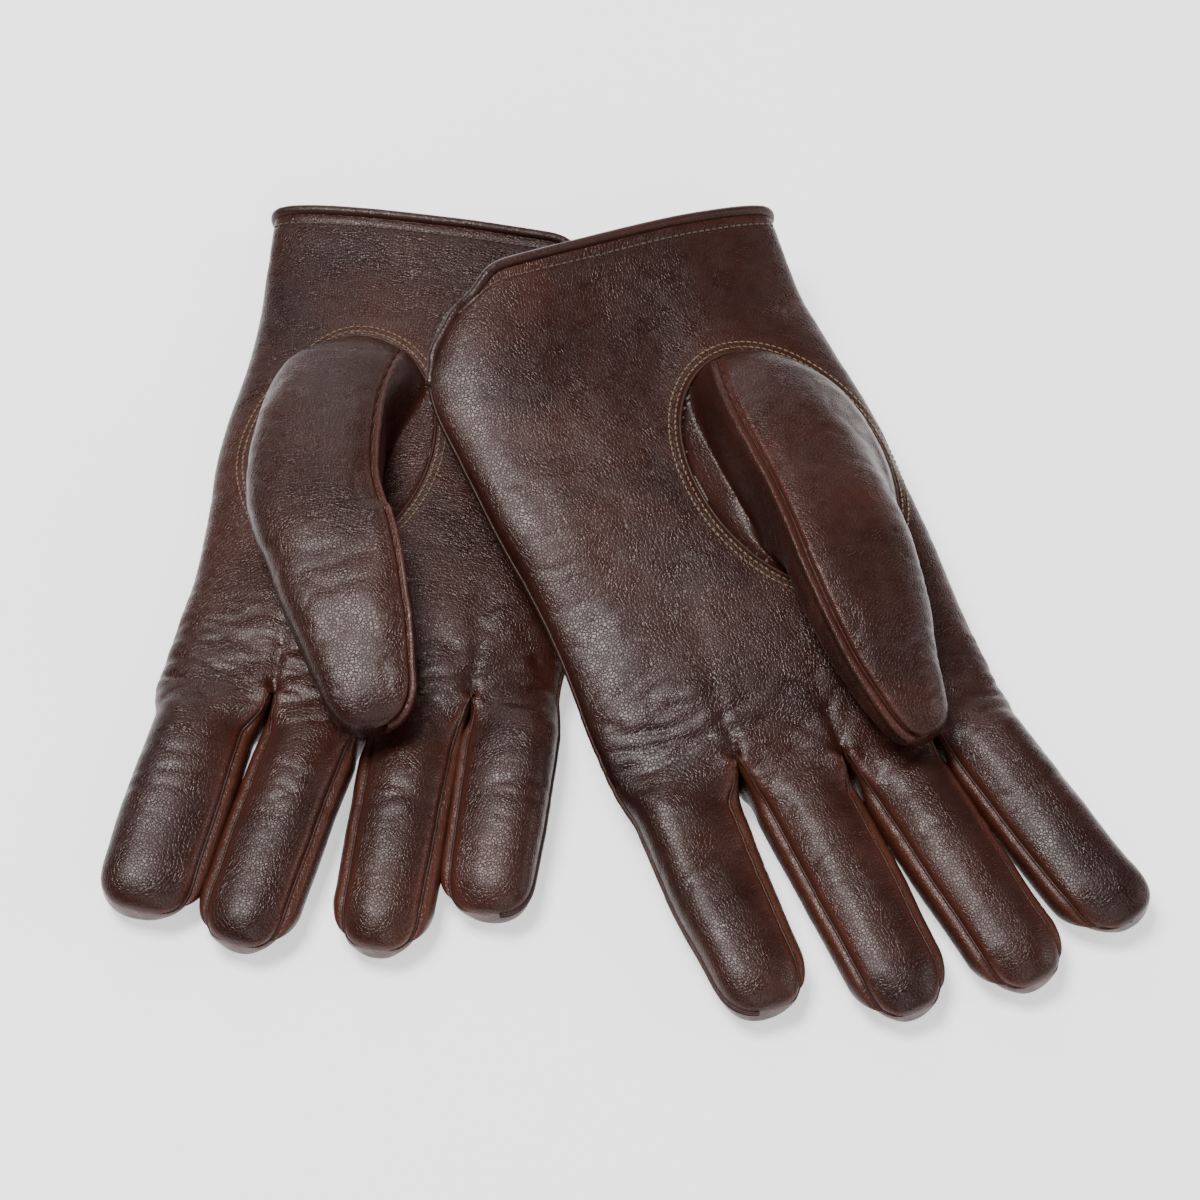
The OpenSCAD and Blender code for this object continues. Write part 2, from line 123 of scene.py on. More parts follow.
def soft_table(rows, at, width):
    """The same, with its corners rounded."""
    k = np.linspace(-1, 1, 9)
    w = np.exp(-2 * k * k)
    at = np.asarray(at, float)
    return sum(wi * table(rows, at + ki * width) for ki, wi in zip(k, w)) / w.sum()


def smooth(t):
    t = np.clip(t, 0, 1)
    return t * t * (3 - 2 * t)


def mix(a, b, t):
    return a + (b - a) * t


def spow(v, e):
    return np.sign(v) * np.abs(v) ** e


def noise(p, seed=0):
    """Smooth gradient noise in 3-D, about -1 to 1."""
    p = np.asarray(p, float)
    base = np.floor(p).astype(np.int64)
    f = p - base
    u = f * f * f * (f * (f * 6 - 15) + 10)
    total = np.zeros(len(p))
    for dx in (0, 1):
        for dy in (0, 1):
            for dz in (0, 1):
                c = base + (dx, dy, dz)
                h = (c[:, 0] * 73856093) ^ (c[:, 1] * 19349663) ^ (c[:, 2] * 83492791) ^ (seed * 2654435761)
                h = (h ^ (h >> 13)) * 1274126177 & 0x7FFFFFFF
                a = (h & 1023) / 1023.0 * 2 * np.pi
                b = ((h >> 10) & 1023) / 511.5 - 1
                r = np.sqrt(np.clip(1 - b * b, 0, 1))
                d = f - (dx, dy, dz)
                g = np.cos(a) * r * d[:, 0] + np.sin(a) * r * d[:, 1] + b * d[:, 2]
                wx = u[:, 0] if dx else 1 - u[:, 0]
                wy = u[:, 1] if dy else 1 - u[:, 1]
                wz = u[:, 2] if dz else 1 - u[:, 2]
                total += g * wx * wy * wz
    return total * 1.6


def ridge(v, sharp=2.0):
    """Creases: 1 on a noise field's zero line, falling off to the sides."""
    return np.clip(1 - np.abs(v) * sharp, 0, 1) ** 2


# ---------------------------------------------------------------- where a glove lies
def lift(g, p):
    u = np.clip((LIFT_END - p[:, 1]) / LIFT_END, 0, 1.1)
    return u ** 1.15 * (LIFT[g] - LIFT_TILT[g] * p[:, 0])


def place(g, p):
    """Points of a glove's own frame, in mm, laid in the row frame, in metres."""
    p = np.asarray(p, float).reshape(-1, 3)
    bow = soft_table(BOW[g], p[:, 1], 12.0)
    high = 1 - smooth((p[:, 2] - 21) / 9)
    bow = bow - high * soft_table(TRIM_INDEX[g], p[:, 1], 8.0) * smooth((p[:, 0] - 14) / 40)
    bow = bow + soft_table(TRIM_LITTLE[g], p[:, 1], 8.0) * smooth((-p[:, 0] - 14) / 40)
    x, y = MIRRORED[g] * (p[:, 0] + bow), -p[:, 1]
    c, s = math.cos(math.radians(TURNED[g])), math.sin(math.radians(TURNED[g]))
    wx = CUFF_AT[g][0] + x * c - y * s
    wy = CUFF_AT[g][1] + x * s + y * c
    return np.stack([wx, wy, p[:, 2] + lift(g, p)], 1) / 1000


# ---------------------------------------------------------------- the hand's form
def root_x(g):
    return np.array([k * PALM_W + (CROTCH_SHIFT[g] if 0 < i < 4 else 0) for i, k in enumerate(ROOT_K)])


def root_y(g, x):
    return np.interp(x, root_x(g), ROOT_Y)


def hand_half_w(t):
    wider = soft_table(((0, CUFF_W - PALM_W), (0.17, 5), (0.35, 3), (0.65, 0), (1, 0)), t, 0.08)
    return wider / 2 + PALM_W / 2


def hand_half_t(t):
    rows = ((0, CUFF_T), (0.18, CUFF_T + 1.5), (0.5, PALM_T), (0.85, PALM_T), (1, FINGER_T + 0.5))
    return soft_table(rows, t, 0.07) / 2


def half_section(n, flat, count=721):
    """One half of the hand's section, of half-width and half-height 1, from -1 to 1."""
    a = np.linspace(np.pi, 0, count)
    x, z = spow(np.cos(a), 2 / n), spow(np.sin(a), 2 / n) * flat
    return x, np.minimum(z, 1)


def lane_spread(n):
    k = np.arange(n + 1) / n
    return 0.55 * (0.5 - 0.5 * np.cos(np.pi * k)) + 0.45 * k


SPREAD = lane_spread(LANE)
PALM_HALF = half_section(TOP_N, 1.0)
BACK_HALF = half_section(BOTTOM_N, FLAT)


def lanes(section, breaks, w, h):
    """Points of a half section, LANE columns to each lane between breaks, evenly by length."""
    x, z = section[0] * w, section[1] * h
    length = np.concatenate([[0], np.cumsum(np.hypot(np.diff(x), np.diff(z)))])
    stops = np.interp(breaks, x, length)
    stops[0], stops[-1] = 0, length[-1]
    at = np.concatenate([stops[i] + (stops[i + 1] - stops[i]) * SPREAD[(1 if i else 0):] for i in range(4)])
    return np.interp(at, length, x), np.interp(at, length, z)


def hand_row(g, t):
    """The hand's section at t, from the side seam over the palm and back under to the seam."""
    w, h = float(hand_half_w(t)), float(hand_half_t(t))
    breaks = root_x(g) * w / (PALM_W / 2)
    breaks[0], breaks[-1] = -w, w
    tx, tz = lanes(PALM_HALF, breaks, w, h)
    bx, bz = lanes(BACK_HALF, breaks, w, h)
    x = np.concatenate([tx, bx[::-1][1:]])
    z = np.concatenate([tz, -bz[::-1][1:]])
    c = x / w
    cut = max(1 - t / VENT_T, 0.0)
    vent = VENT_IN * cut ** 1.5 * smooth((-c - 0.55) / 0.45)
    rise = CUFF_RISE * (1 - smooth(t / 0.16))
    y = root_y(g, np.clip(x / w * PALM_W / 2, root_x(g)[0], root_x(g)[-1])) * t + 0.6 * vent
    z = z + h + rise
    gap = 0.05 + VENT_OPEN / 2 * cut
    z[0] += gap
    z[-1] -= gap
    return np.stack([x + vent, y, z], 1)


def palm_z(g, x, y):
    """Height of the palm's surface over a point."""
    x, y = np.asarray(x, float), np.asarray(y, float)
    t = np.clip(y / root_y(g, x), 0, 1)
    h, w = hand_half_t(t), hand_half_w(t)
    c = np.clip(np.abs(x) / w, 0, 1)
    return h + h * (1 - c ** TOP_N) ** (1 / TOP_N) + CUFF_RISE * (1 - smooth(t / 0.16))


# ---------------------------------------------------------------- the fingers' form
def finger_len(g, f):
    return MIDDLE_LEN + (-2, 1, 0, -5)[f] + FINGER_ADD[g]


def tip_close(d, start, end, n):
    """1 before start, rounding down to 0 at end."""
    s = np.clip((d - start) / (end - start), 0, 1)
    return (1 - s ** n) ** (1 / n)


def finger_row(g, f, d, root):
    """A finger's section at d beyond its crotches: palm strip, wall, back strip, wall.
    root is the section that it starts from, in the same order."""
    length = finger_len(g, f) + FINGER_MORE
    rx = root_x(g)
    lane = (rx[4 - f] - rx[3 - f]) / 2
    body = FINGER_W / 2 + (1.0 if f == 0 else 0.0)
    w = mix(lane, body, smooth(d / 16)) - 0.5 * smooth((d - 40) / 20)
    w = w * tip_close(d, length - 15, length, 2.9)
    share = d / length
    mid = soft_table(((0, 9.5), (0.35, 11.0), (0.8, 9.6), (1, 9.8)), share, 0.1)
    top = soft_table(((0, 19.0), (0.3, 20.4), (0.6, 18.6), (0.8, 17.0), (1.1, 15.5)), share, 0.08) - mid
    low = mid - soft_table(((0, 0.0), (0.35, 1.8), (0.7, 0.0), (1.2, 0.0)), share, 0.08)
    h_top = top * tip_close(d, length - 15, length, 2.3)
    h_low = low * tip_close(d, length - 9, length, 2.9)
    near_tip = 1 - smooth((d - (length - 14)) / 13)
    edge_top, edge_low = 0.5 * h_top * near_tip, 0.55 * h_low * near_tip
    p = np.maximum(w - 2.1 * tip_close(d, length - 12, length, 2), 0.3 * w)
    u = SPREAD
    outer = w + (INDEX_OUTER[g] * smooth(d / 12) if f == 0 else 0.0)

    def strip(h, edge):
        if f in (1, 2):
            return mix(-p, p, u), edge + (h - edge) * (1 - np.abs(2 * u - 1) ** 2.5)
        q = u if f == 0 else 1 - u      # 0 at the seam, 1 at the outer side
        theta = np.pi / 2 * np.clip((q - 0.42) / 0.58, 0, 1)
        flat_x = mix(-p, 0.25 * outer, np.clip(q / 0.42, 0, 1))
        x = np.where(q < 0.42, flat_x, 0.25 * outer + 0.75 * outer * np.sin(theta) ** 0.9)
        dome = edge + (h - edge) * (1 - np.clip(1 - q / 0.42, 0, 1) ** 2.5)
        z = np.where(q < 0.42, dome, h * np.clip(np.cos(theta), 0, 1) ** 0.75)
        return (x if f == 0 else -x), z

    tx, tz = strip(h_top, edge_top)
    bx, bz = strip(h_low, edge_low)
    bz = -bz
    v = np.arange(1, WALL) / WALL
    belly = 3.3 * (1 - smooth((d - (length - 15)) / 14)) * smooth((d - 1) / 14)
    if f != 0:    # wall on the index side, going down
        right = (mix(tx[-1], bx[-1], v) + belly * np.sin(np.pi * v) ** 0.8, mix(tz[-1], bz[-1], v))
    if f != 3:    # wall on the little finger's side, going up
        left = (mix(bx[0], tx[0], v) - belly * np.sin(np.pi * v) ** 0.8, mix(bz[0], tz[0], v))
    if f == 0:
        x = np.concatenate([tx, bx[::-1][1:], left[0]])
        z = np.concatenate([tz, bz[::-1][1:], left[1]])
    elif f == 3:
        x = np.concatenate([tx, right[0], bx[::-1]])
        z = np.concatenate([tz, right[1], bz[::-1]])
    else:
        x = np.concatenate([tx, right[0], bx[::-1], left[0]])
        z = np.concatenate([tz, right[1], bz[::-1], left[1]])
    x0 = (rx[4 - f] + rx[3 - f]) / 2
    y0 = (ROOT_Y[4 - f] + ROOT_Y[3 - f]) / 2
    slope = (ROOT_Y[4 - f] - ROOT_Y[3 - f]) / (rx[4 - f] - rx[3 - f])
    yaw = math.radians(FINGER_YAW[g][f])
    turn = yaw * smooth(d / 12)
    out = d + slope * np.clip(1 - d / (0.8 * BEND_AT), 0, 1) * x
    px = x0 + x * np.cos(turn) + out * math.sin(yaw)
    py = y0 - x * np.sin(turn) + out * math.cos(yaw)
    pts = np.stack([px, py, mid + z], 1)
    k = smooth(d / 15.0)
    if k < 1:
        along = np.array([math.sin(yaw), math.cos(yaw), 0]) * d
        pts = mix(root + along, pts, k)
    return pts


# ---------------------------------------------------------------- the thumb's form
PIVOT_Y = HOLE_Y + HOLE_L + FOLD_R
THUMB_TOP_N = (3.8, 2.9)    # how square the thumb is above
THUMB_LOW_N = 2.1           # and below
T_SEAM = (146.0, 138.0)     # where the thumb's seam runs, in degrees round its section
RIDGE_START = (113.0, 97.0)
THUMB_ROLL = (7.0, 13.0)    # how far the thumb's inner side turns up
THUMB_TURN = (-25.0, -6.5)
THUMB_HALF_W = (
    ((-0.2, 20.4), (0, 19.9), (0.3, 18.2), (0.6, 15.8), (0.85, 13.0), (1.1, 11.0)),
    ((-0.2, 20.3), (0, 19.4), (0.3, 17.6), (0.6, 14.4), (0.85, 11.2), (1.1, 8.0)),
)


def over(g):
    return float(palm_z(g, HOLE_X[g], PIVOT_Y)) + 0.6


def thumb_size(g, d):
    """Half-width and half-height of the free thumb at a share d of its length."""
    w = soft_table(THUMB_HALF_W[g], d, 0.1)
    h = soft_table(((-0.2, 9.75), (0, 9.75), (0.5, 8.9), (0.8, 7.6), (1.1, 6.4)), d, 0.1)
    close = tip_close(d, 0.8, 1.0, 2.7)
    return w * mix(0.1, 1, close), h * mix(0.2, 1, close)


def ridge_angle(g, s):
    """Where the seam runs on a ring of the gusset: from the hole's end to the thumb's inner side."""
    return mix(RIDGE_START[g], T_SEAM[g], float(smooth(s * 1.1)))


def rolled(g, side, up, share):
    """A section turned about its middle, so that its inner side comes up."""
    r = math.radians(THUMB_ROLL[g]) * share
    return side * math.cos(r) + up * math.sin(r), up * math.cos(r) - side * math.sin(r)


def gusset_row(g, s, a):
    """A ring of the gusset: the oval hole at s = 0, the upright thumb at s = 1."""
    back = (2 * HOLE_L + FOLD_R) * math.cos(math.pi / 2 * s) ** 1.3 if s < 1 else 0.0
    rise = THUMB_T * math.sin(math.pi / 2 * s) ** 1.3
    tilt, reach = math.atan2(rise, back), math.hypot(rise, back)
    half, mid = (reach - FOLD_R) / 2, FOLD_R + (reach - FOLD_R) / 2
    n_top, n_low = mix(2, THUMB_TOP_N[g], s), mix(2, THUMB_LOW_N, s)
    sa = np.sin(a)
    ca = np.cos(a)
    n = np.where(sa >= 0, n_top, n_low)
    narrowing = float(smooth(s * (2.0, 1.4)[g]))
    side = mix(HOLE_W, float(thumb_size(g, 0.0)[0]), narrowing) * spow(ca, 2 / n)
    r = mid + half * spow(sa, 2 / n)
    yaw = math.radians(THUMB_TURN[g]) * s * s
    # beyond its ridge the gusset drops into the hollow beside the thumb
    beyond = np.degrees(a) - ridge_angle(g, s)
    drop = smooth((beyond - mix(9, 16, s)) / mix(26, 40, s)) * (1 - smooth((np.degrees(a) - 300) / 50))
    sunk = float(smooth((s - 0.55) / 0.45))
    up = r * math.sin(tilt)
    up = up * (1 - drop * (1 - sunk)) - 3.6 * drop * math.sin(math.pi * min(s / 0.9, 1)) * (1 - sunk)
    side = side + 2.5 * drop * math.sin(math.pi * min(s / 0.95, 1))
    centre = mid * math.sin(tilt)
    turned = float(smooth(s / 0.9))
    side, up = rolled(g, side, up - centre, turned * s)
    up = up + centre
    x = HOLE_X[g] + side * math.cos(yaw) - r * math.cos(tilt) * math.sin(yaw) + THUMB_SHIFT[g] * s * s
    y = PIVOT_Y - side * math.sin(yaw) - r * math.cos(tilt) * math.cos(yaw)
    floor = mix(palm_z(g, x, y) - 0.9, over(g), float(smooth(3 * s)))
    return np.stack([x, y, floor + up], 1)


def thumb_row(g, d, a):
    length = THUMB_LEN + THUMB_ADD[g]
    w, h = thumb_size(g, d)
    out = d * length
    yaw = math.radians(THUMB_TURN[g])
    n = np.where(np.sin(a) >= 0, THUMB_TOP_N[g], THUMB_LOW_N)
    side, up = rolled(g, w * spow(np.cos(a), 2 / n), h * spow(np.sin(a), 2 / n), 1.0)
    side = side + (1.0, 2.6)[g] * smooth((d - 0.5) / 0.5)
    x = HOLE_X[g] + THUMB_SHIFT[g] + side * math.cos(yaw) + out * math.sin(yaw)
    y = PIVOT_Y - side * math.sin(yaw) + out * math.cos(yaw)
    z = over(g) + THUMB_T - 9.75 + up - 5.0 * d * d
    return np.stack([x, y, z], 1)


# ---------------------------------------------------------------- meshes
def grid_faces(index, wrap=False):
    """Quads of a grid of vertex numbers, one row per station."""
    index = np.asarray(index)
    a = index if not wrap else np.concatenate([index, index[:, :1]], 1)
    return np.stack([a[:-1, :-1], a[:-1, 1:], a[1:, 1:], a[1:, :-1]], -1).reshape(-1, 4)


def normals_of(pts, faces):
    a, b, c, d = (pts[faces[:, i]] for i in range(4))
    n = np.cross(c - a, d - b)
    out = np.zeros_like(pts)
    for i in range(4):
        np.add.at(out, faces[:, i], n)
    return out / np.maximum(np.linalg.norm(out, axis=1, keepdims=True), 1e-12)


def make_object(name, pts, faces, material, attributes=None, normals=None, flip=False):
    """pts in metres. faces: an array of quads, or a list of tuples."""
    mesh = bpy.data.meshes.new(name)
    faces = [tuple(int(i) for i in f) for f in faces]
    if flip:
        faces = [f[::-1] for f in faces]
    mesh.from_pydata([tuple(p) for p in pts], [], faces)
    mesh.update()
    mesh.polygons.foreach_set("use_smooth", [True] * len(mesh.polygons))
    for key, values in (attributes or {}).items():
        values = np.asarray(values, np.float32)
        if values.ndim == 2:
            at = mesh.attributes.new(key, "FLOAT_VECTOR", "POINT")
            at.data.foreach_set("vector", values.ravel())
        else:
            at = mesh.attributes.new(key, "FLOAT", "POINT")
            at.data.foreach_set("value", values)
    if normals is not None:
        mesh.normals_split_custom_set_from_vertices([tuple(n) for n in normals])
    ob = bpy.data.objects.new(name, mesh)
    bpy.context.scene.collection.objects.link(ob)
    mesh.materials.append(material)
    return ob


def take(pts, faces, *arrays):
    """The part of a mesh that faces use, renumbered."""
    used = np.unique(faces)
    back = np.full(len(pts), -1)
    back[used] = np.arange(len(used))
    return (pts[used], back[faces]) + tuple(a[used] for a in arrays)


def tube(path, radius, sides=8, closed=False, up=None):
    """Vertices and quads of a tube along path; up is a direction at each point."""
    path = np.asarray(path, float)
    n = len(path)
    if closed:
        along = np.roll(path, -1, 0) - np.roll(path, 1, 0)
    else:
        along = np.gradient(path, axis=0)
    along /= np.maximum(np.linalg.norm(along, axis=1, keepdims=True), 1e-12)
    up = np.tile((0, 0, 1.0), (n, 1)) if up is None else np.asarray(up, float)
    side = np.cross(along, up)
    side /= np.maximum(np.linalg.norm(side, axis=1, keepdims=True), 1e-12)
    top = np.cross(side, along)
    r = np.broadcast_to(np.asarray(radius, float), (n,))
    a = np.arange(sides) * 2 * np.pi / sides
    around = np.cos(a)[None, :, None] * side[:, None] + np.sin(a)[None, :, None] * top[:, None]
    pts = path[:, None] + r[:, None, None] * around
    index = np.arange(n * sides).reshape(n, sides)
    if closed:
        index = np.concatenate([index, index[:1]], 0)
    faces = [tuple(f) for f in grid_faces(index, True)]
    if not closed:
        faces += [tuple(index[0][::-1]), tuple(index[-1])]
    return pts.reshape(-1, 3), faces


def join(pieces):
    """Several (points, faces) as one."""
    pts, faces, base = [], [], 0
    for p, f in pieces:
        pts.append(p)
        faces += [tuple(int(i) + base for i in q) for q in f]
        base += len(p)
    return np.concatenate(pts), faces


def resample(path, step, closed=False):
    path = np.asarray(path, float)
    if closed:
        path = np.concatenate([path, path[:1]])
    length = np.concatenate([[0], np.cumsum(np.linalg.norm(np.diff(path, axis=0), axis=1))])
    count = max(int(round(length[-1] / step)), 2)
    at = np.linspace(0, length[-1], count + 1)
    if closed:
        at = at[:-1]
    return np.stack([np.interp(at, length, path[:, i]) for i in range(3)], 1)


def stitches(path, ups, pitch, length, radius, closed=False, lean=0.0):
    """Separate stitches along a path in metres, each a small rounded capsule pressed into the leather."""
    p = resample(path, pitch, closed)
    n = len(p)
    idx = np.array([int(np.argmin(((path - q) ** 2).sum(1))) for q in p])
    up = np.asarray(ups)[idx]
    along = (np.roll(p, -1, 0) - np.roll(p, 1, 0)) if closed else np.gradient(p, axis=0)
    along /= np.maximum(np.linalg.norm(along, axis=1, keepdims=True), 1e-12)
    side = np.cross(along, up)
    pieces = []
    ts = np.array((-1.0, -0.86, -0.5, 0.0, 0.5, 0.86, 1.0))
    rs = np.array((0.25, 0.62, 0.95, 1.0, 0.95, 0.62, 0.25))
    dips = -0.75 * np.abs(ts) ** 3
    for i in range(n):
        d = along[i] + lean * side[i]
        c = p[i] + ts[:, None] * (length / 2) * d + dips[:, None] * radius * up[i]
        pieces.append(tube(c, radius * rs, 6, False, np.tile(up[i], (len(ts), 1))))
    return join(pieces)


# ---------------------------------------------------------------- materials
def new_material(name):
    m = bpy.data.materials.new(name)
    m.use_nodes = True
    return m, m.node_tree.nodes, m.node_tree.links, m.node_tree.nodes["Principled BSDF"]


def attribute(nodes, name):
    n = nodes.new("ShaderNodeAttribute")
    n.attribute_name = name
    return n


def noise_node(nodes, links, vector, scale, detail=3.0, rough=0.5, distortion=0.0):
    n = nodes.new("ShaderNodeTexNoise")
    n.inputs["Scale"].default_value = scale
    n.inputs["Detail"].default_value = detail
    n.inputs["Roughness"].default_value = rough
    n.inputs["Distortion"].default_value = distortion
    links.new(vector, n.inputs["Vector"])
    return n


def ramp(nodes, links, value, stops):
    r = nodes.new("ShaderNodeValToRGB")
    while len(r.color_ramp.elements) < len(stops):
        r.color_ramp.elements.new(0.5)
    for e, (at, colour) in zip(r.color_ramp.elements, stops):
        e.position = at
        e.color = (*colour, 1)
    links.new(value, r.inputs["Fac"])
    return r


def base_colour(nodes, links, shader, value, *stops):
    links.new(ramp(nodes, links, value, stops).outputs["Color"], shader.inputs["Base Color"])


def add_bump(nodes, links, shader, height, strength, distance):
    b = nodes.new("ShaderNodeBump")
    b.inputs["Strength"].default_value = strength
    b.inputs["Distance"].default_value = distance
    links.new(height, b.inputs["Height"])
    links.new(b.outputs["Normal"], shader.inputs["Normal"])


def math_node(nodes, links, op, a, b):
    n = nodes.new("ShaderNodeMath")
    n.operation = op
    for i, v in enumerate((a, b)):
        if isinstance(v, (int, float)):
            n.inputs[i].default_value = v
        else:
            links.new(v, n.inputs[i])
    return n.outputs[0]


def weighted_sum(nodes, links, *terms):
    """The sum of (socket, weight) pairs."""
    total = None
    for socket, weight in terms:
        part = math_node(nodes, links, "MULTIPLY", socket, weight)
        total = part if total is None else math_node(nodes, links, "ADD", total, part)
    return total


ROUGH_RANGE = 0.09


def leather_material(name, dark, mid, light, rough=0.42, grain=1.0):
    """Grained, burnished leather: colour patches, worn raised edges, pores and fine creases."""
    m, nodes, links, shader = new_material(name)
    rest = attribute(nodes, "rest").outputs["Vector"]
    wear = attribute(nodes, "wear").outputs["Fac"]
    patches = noise_node(nodes, links, rest, 28, 4, 0.55, 0.6)
    cloud = noise_node(nodes, links, rest, 9, 2, 0.5, 0.2)
    tone = weighted_sum(nodes, links, (patches.outputs["Fac"], 0.6), (cloud.outputs["Fac"], 0.5), (wear, 0.3))
    base_colour(nodes, links, shader, tone, (0.36, dark), (0.56, mid), (0.95, light))
    cells = nodes.new("ShaderNodeTexVoronoi")
    cells.feature = "DISTANCE_TO_EDGE"
    cells.inputs["Scale"].default_value = 1050
    warp = noise_node(nodes, links, rest, 420, 2)
    shift = nodes.new("ShaderNodeVectorMath")
    shift.operation = "MULTIPLY_ADD"
    links.new(warp.outputs["Color"], shift.inputs[0])
    shift.inputs[1].default_value = (0.0002, 0.0002, 0.0002)
    links.new(rest, shift.inputs[2])
    links.new(shift.outputs["Vector"], cells.inputs["Vector"])
    pebble = ramp(nodes, links, cells.outputs["Distance"],
                  ((0.0, (0,) * 3), (0.16, (0.75,) * 3), (0.5, (1,) * 3)))
    fine = noise_node(nodes, links, rest, 1500, 2, 0.5)
    medium = noise_node(nodes, links, rest, 210, 2, 0.5)
    height = weighted_sum(nodes, links, (pebble.outputs["Color"], 0.55), (fine.outputs["Fac"], 0.35),
                          (medium.outputs["Fac"], 0.5))
    add_bump(nodes, links, shader, height, 0.4 * grain, 0.00035)
    r = ramp(nodes, links, medium.outputs["Fac"],
             ((0.3, (rough - ROUGH_RANGE,) * 3), (0.7, (rough + ROUGH_RANGE,) * 3)))
    links.new(r.outputs["Color"], shader.inputs["Roughness"])
    shader.inputs["Specular IOR Level"].default_value = 0.25
    shader.inputs["Specular Tint"].default_value = (1.0, 0.9, 0.87, 1)
    shader.inputs["Coat Weight"].default_value = 0.05
    shader.inputs["Coat Roughness"].default_value = 0.22
    return m


def thread_material(name, dark, light):
    m, nodes, links, shader = new_material(name)
    at = nodes.new("ShaderNodeTexCoord").outputs["Object"]
    n = noise_node(nodes, links, at, 900, 2)
    base_colour(nodes, links, shader, n.outputs["Fac"], (0.3, dark), (0.7, light))
    shader.inputs["Roughness"].default_value = 0.75
    shader.inputs["Sheen Weight"].default_value = 0.2
    add_bump(nodes, links, shader, n.outputs["Fac"], 0.5, 0.0001)
    return m


def knit_material(name):
    """A fine knit: rows of small loops."""
    m, nodes, links, shader = new_material(name)
    rest = attribute(nodes, "rest").outputs["Vector"]
    ribs = nodes.new("ShaderNodeTexWave")
    ribs.wave_type, ribs.bands_direction = "BANDS", "X"
    ribs.inputs["Scale"].default_value = 260
    ribs.inputs["Distortion"].default_value = 1.2
    ribs.inputs["Detail Scale"].default_value = 300
    loops = nodes.new("ShaderNodeTexWave")
    loops.wave_type, loops.bands_direction = "BANDS", "Y"
    loops.inputs["Scale"].default_value = 330
    loops.inputs["Distortion"].default_value = 0.8
    for w in (ribs, loops):
        links.new(rest, w.inputs["Vector"])
    h = math_node(nodes, links, "MULTIPLY", ribs.outputs["Fac"], loops.outputs["Fac"])
    base_colour(nodes, links, shader, h, (0.1, (0.035, 0.028, 0.022)), (0.8, (0.13, 0.105, 0.085)))
    shader.inputs["Roughness"].default_value = 0.9
    shader.inputs["Sheen Weight"].default_value = 0.4
    add_bump(nodes, links, shader, h, 0.7, 0.0004)
    return m


M_LEATHER = leather_material(
    "Leather", (0.0085, 0.0019, 0.0011), (0.0225, 0.0062, 0.004), (0.054, 0.0155, 0.0096), 0.33)
M_WALL = leather_material(
    "Fourchette_leather", (0.0095, 0.0022, 0.0012), (0.024, 0.006, 0.0033), (0.056, 0.0148, 0.0075), 0.38)
M_WELT = leather_material(
    "Welt_leather", (0.009, 0.0023, 0.0013), (0.021, 0.0056, 0.0032), (0.04, 0.0112, 0.0065), 0.5, 0.6)
M_BINDING = leather_material(
    "Binding_leather", (0.009, 0.0027, 0.0019), (0.0195, 0.0062, 0.0043), (0.04, 0.0132, 0.009), 0.36, 0.8)
M_CUFF_THREAD = thread_material("Cuff_thread", (0.02, 0.013, 0.008), (0.075, 0.053, 0.032))
M_THUMB_THREAD = thread_material("Thumb_thread", (0.07, 0.045, 0.02), (0.2, 0.135, 0.062))
M_LINING = knit_material("Knit_lining")


# ---------------------------------------------------------------- folds and creases of the leather
def leather_relief(g, p, cross, loose, calm):
    """How far the surface stands out, in mm, at points p, given how creased, loose and calm it is."""
    x, y, z = p.T
    seed = 11 + 40 * g
    out = 1.1 * noise(p / (34, 44, 34), seed) + 0.42 * noise(p / (16, 24, 16), seed + 1)
    out += 0.12 * noise(p / (6, 8, 6), seed + 2)
    lined = noise(p / (17, 6.5, 17) + (0, 0, 3.1), seed + 3)
    fine = noise(p / (9, 2.6, 9), seed + 4)
    out -= cross * (0.7 * ridge(lined, 2.4) + 0.26 * ridge(fine, 3.0))
    out += cross * 0.35 * noise(p / (12, 4.5, 12), seed + 5)
    skew = noise(np.stack([(x + 0.6 * y) / 26, (y - 0.5 * x) / 9, z / 20], 1), seed + 6)
    out -= 0.15 * loose * ridge(skew, 2.6) * smooth(0.5 + noise(p / 40, seed + 7))
    return out * calm


print("helpers ready")


# ---------------------------------------------------------------- one glove
def thin_piece(name, pieces, wear, material=M_WELT):
    """Tubes joined as one object, evenly worn."""
    p, q = join(pieces)
    ob = make_object(name, p, q, material, {"rest": p, "wear": np.full(len(p), wear)})
    return ob


def side_seam(line, up):
    """The two edges of a side seam, one above the other."""
    level = np.tile((0, 0, 1.0), (len(line), 1))
    return [tube(line + up * PROUD + (0, 0, SIDE_SEAM_APART * s), SIDE_SEAM_R, 8, False, level)
            for s in (-1, 1)]


